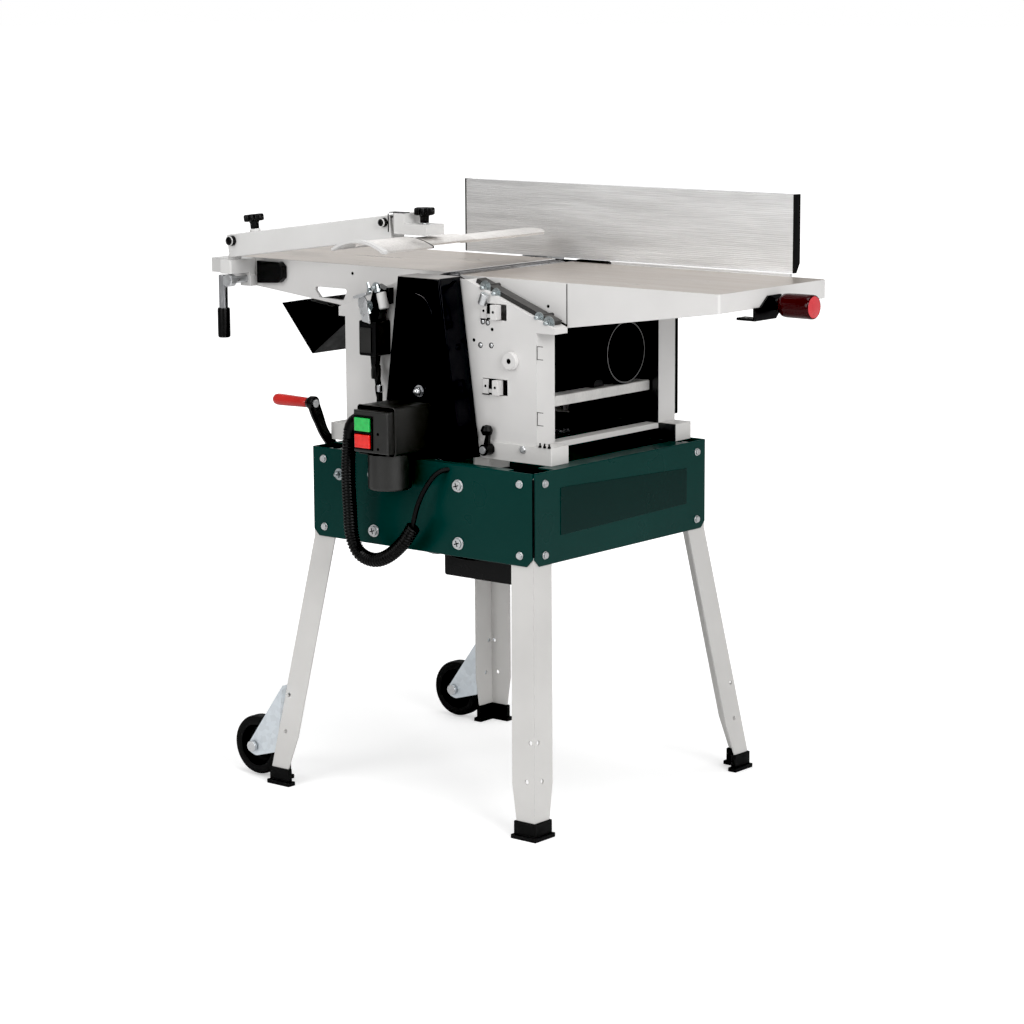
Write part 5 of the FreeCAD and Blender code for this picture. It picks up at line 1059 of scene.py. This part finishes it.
def motor_screw_slots():
    """Cross recesses in the four large screws of the front skirt, drawn as black crosses: painted shade inside the
    recesses.
    """
    middle_x = middle("motor_rotor").x
    half_long, half_wide, turned_by = 5, 0.9, 0.3
    proud, deep = 5.75, 4.55
    bm = bmesh.new()
    for x in (-88, 88):
        for z in (21.5, 112):
            centre = low("skirt_front", z=z)
            centre.x = middle_x + x * MM
            for turn in (turned_by, turned_by + math.pi / 2):
                cross = Vector((math.cos(turn), 0, math.sin(turn))) * half_long
                side = Vector((-math.sin(turn), 0, math.cos(turn))) * half_wide
                ends = []
                for out in (proud, deep):
                    ends.append([bm.verts.new(centre + (Vector((0, -out, 0)) + cross * a + side * b) * MM)
                                 for a, b in ((-1, -1), (1, -1), (1, 1), (-1, 1))])
                skin(bm, ends)
                cap(bm, ends)
    piece("motor_screw_slots", bm, SHADE_AND_JOINT_BLACK, "frame")


def wheels():
    """Black wheels with a ribbed tread edge, a hollow web and a hub."""
    half = [(5.1, -14.4), (14, -14.4), (15.2, -13.2), (16, -5), (31, -4), (33.6, -11.6), (36, -12.4),
            (44.8, -12.4), (47.4, -11.4), (48.7, -8.6), (49, -5), (48.4, -1)]
    profile = half + [(radius, -along) for radius, along in reversed(half)] + half[:1]
    for side in ("front", "rear"):
        made = lathe(f"wheel_{side}_tyre", profile, middle(f"wheel_{side}"), (0, 1, 0), RUBBER,
                     f"{side}_wheel", 72, 40)
        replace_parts(made, f"wheel_{side}")


def table_ledge():
    """Low upstand on the infeed table's rear edge under the fence: a black wedge, then ribbed aluminium."""
    near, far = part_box("fence_profile")
    rear = high("infeed_table").y
    depth = (near.y - rear) / MM - 1.2
    start = Vector((low("cutter_block", 55).x, rear + 0.6 * MM, near.z))
    wedge = [(0, -3), (12, -0.3), (72, -0.3), (76, -2), (78, -6), (78, -12), (0, -12)]
    slab("ledge_wedge", wedge, "y", 0, depth, start, PLASTIC, "infeed", 0.5)
    left, right = 79, (far.x - start.x) / MM
    bm = bmesh.new()
    prism(bm, rectangle(left, right, -12, -7.6), "y", 0, depth, start)
    for row in range(3):
        foot = -7.4 + row * 2.4
        prism(bm, rectangle(left, right, foot, foot + 2.1), "y", 0, depth - 0.5, start)
    soften(piece("ledge_strip", bm, FENCE_SKIN, "infeed"), 0.2)
    seal = [(-104, -2.4), (-46, -2.4), (-46, -7), (-104, -7)]
    slab("outfeed_seal", seal, "y", 0.2, depth, start, PLASTIC, "frame", 0.4)


def hood_details():
    """Ring round the hood's port, lighter than the hood as a painted highlight on its rim, and the clip under it.
    """
    port = Vector(frame["record"]["mounts"][0]["pos_m"])
    port.x = high("chip_hood").x
    ring = [(47.4, 0.05), (47.4, 0.5), (48.0, 0.9), (49.4, 0.9), (49.9, 0.5), (49.9, 0.05), (47.4, 0.05)]
    lathe("port_rim", ring, port, (1, 0, 0), PORT_HIGHLIGHT, "hood", 96)
    foot = Vector((port.x, port.y - 40 * MM, low("chip_hood").z))
    clip = [(-34, 1), (-6, 1), (-6, 6), (-13, 13), (-29, 13), (-34, 8)]
    slab("hood_clip", clip, "x", -21, -8, foot, PLASTIC, "hood", 1.0)


# ---------------------------------------------------------------- studio

def white_surround(scene):
    """World that looks white to the camera and lights the object softly."""
    world = bpy.data.worlds.new("studio")
    scene.world = world
    world.use_nodes = True
    tree = world.node_tree
    seen = tree.nodes["Background"]
    seen.inputs["Color"].default_value = (1, 1, 1, 1)
    seen.inputs["Strength"].default_value = 1.0
    light = tree.nodes.new("ShaderNodeBackground")
    light.inputs["Color"].default_value = (1, 1, 1, 1)
    light.inputs["Strength"].default_value = 0.34
    rays = tree.nodes.new("ShaderNodeLightPath")
    mix = tree.nodes.new("ShaderNodeMixShader")
    tree.links.new(rays.outputs["Is Camera Ray"], mix.inputs[0])
    tree.links.new(light.outputs[0], mix.inputs[1])
    tree.links.new(seen.outputs[0], mix.inputs[2])
    tree.links.new(mix.outputs[0], tree.nodes["World Output"].inputs["Surface"])


def paper_floor():
    """Pale paper floor that keeps soft contact shadows and fades to white far away."""
    bm = bmesh.new()
    reach = 60
    bm.faces.new([bm.verts.new((x * reach, y * reach, 0)) for x, y in ((-1, -1), (1, -1), (1, 1), (-1, 1))])
    mesh = bpy.data.meshes.new("floor")
    bm.to_mesh(mesh)
    bm.free()
    floor = bpy.data.objects.new("floor", mesh)
    bpy.context.scene.collection.objects.link(floor)
    s = Shade("floor_paper", 0.9)
    s.set(Specular_IOR_Level=0.0)
    s.colour(s.mix(s.spread(s.noise(2.0, 3.0), 0.0, 1.0), (0.84, 0.84, 0.84), (0.87, 0.87, 0.87)))
    away = s.add("ShaderNodeVectorMath", operation="LENGTH")
    s.link(s.place, away.inputs[0])
    glow = s.spread(away.outputs["Value"], 0.42, 1.0, 0.8, 3.0)
    rays = s.add("ShaderNodeLightPath")
    s.surface.inputs["Emission Color"].default_value = (1, 1, 1, 1)
    s.link(s.times(glow, rays.outputs["Is Camera Ray"]), s.surface.inputs["Emission Strength"])
    mesh.materials.append(s.material)


def studio():
    """Soft boxes: the strongest from the operator's right, so that faces looking there are the brightest."""
    scene = bpy.context.scene
    scene.view_settings.view_transform = "Standard"
    white_surround(scene)
    paper_floor()
    scene.view_settings.use_curve_mapping = True
    scene.view_settings.curve_mapping.black_level = (0.011, 0.011, 0.011)
    scene.view_settings.curve_mapping.update()
    lights = (("right", (3.9, -1.5, 2.3), 2.0, 108), ("front", (-0.6, -4.2, 2.2), 2.2, 60),
              ("top", (0.2, -0.3, 3.9), 2.6, 58), ("back", (-3.4, 3.0, 3.2), 2.4, 23))
    centre = (CAD_BOX[0] + CAD_BOX[1]) / 2
    for name, place, size, power in lights:
        lamp = bpy.data.lights.new(name, "AREA")
        lamp.size = size
        lamp.energy = power
        holder = bpy.data.objects.new(name, lamp)
        holder.location = place
        holder.rotation_mode = "QUATERNION"
        holder.rotation_quaternion = (Vector(place) - centre).to_track_quat("Z", "Y")
        scene.collection.objects.link(holder)


def camera():
    """Long lens from the operator's right, a little above the tables."""
    data = bpy.data.cameras.new("camera")
    data.sensor_width = 36.0
    data.lens = 105.54
    holder = bpy.data.objects.new("camera", data)
    bpy.context.scene.collection.objects.link(holder)
    azimuth, elevation, roll = math.radians(39.55), math.radians(10.13), math.radians(-0.31)
    back = Vector((math.sin(azimuth) * math.cos(elevation), -math.cos(azimuth) * math.cos(elevation),
                   math.sin(elevation)))
    holder.location = (3.041, -3.698, 1.296)
    holder.rotation_mode = "QUATERNION"
    turn = Matrix.Rotation(roll, 4, back)
    holder.rotation_quaternion = (turn @ back.to_track_quat("Z", "Y").to_matrix().to_4x4()).to_quaternion()
    bpy.context.scene.camera = holder


dress_cad()
table_tops()
star_knob("height_star_knob", "height_knob", "arm_knob", 15.2)
star_knob("width_star_knob", "width_knob", "holder_knob", 1.5)
depth_knob()
crank()
clamp_lever()
bridge_guard()
arm_caps()
holder_details()
conduit()
switch_details()
interlock_details()
panel_details()
bar_nuts()
cover_details()
table_side_holes()
seams()
post_seams()
guard_clamp_block()
front_bolts()
drooping_cable()
stand_plate()
motor_screw_slots()
wheels()
table_ledge()
hood_details()
studio()
camera()
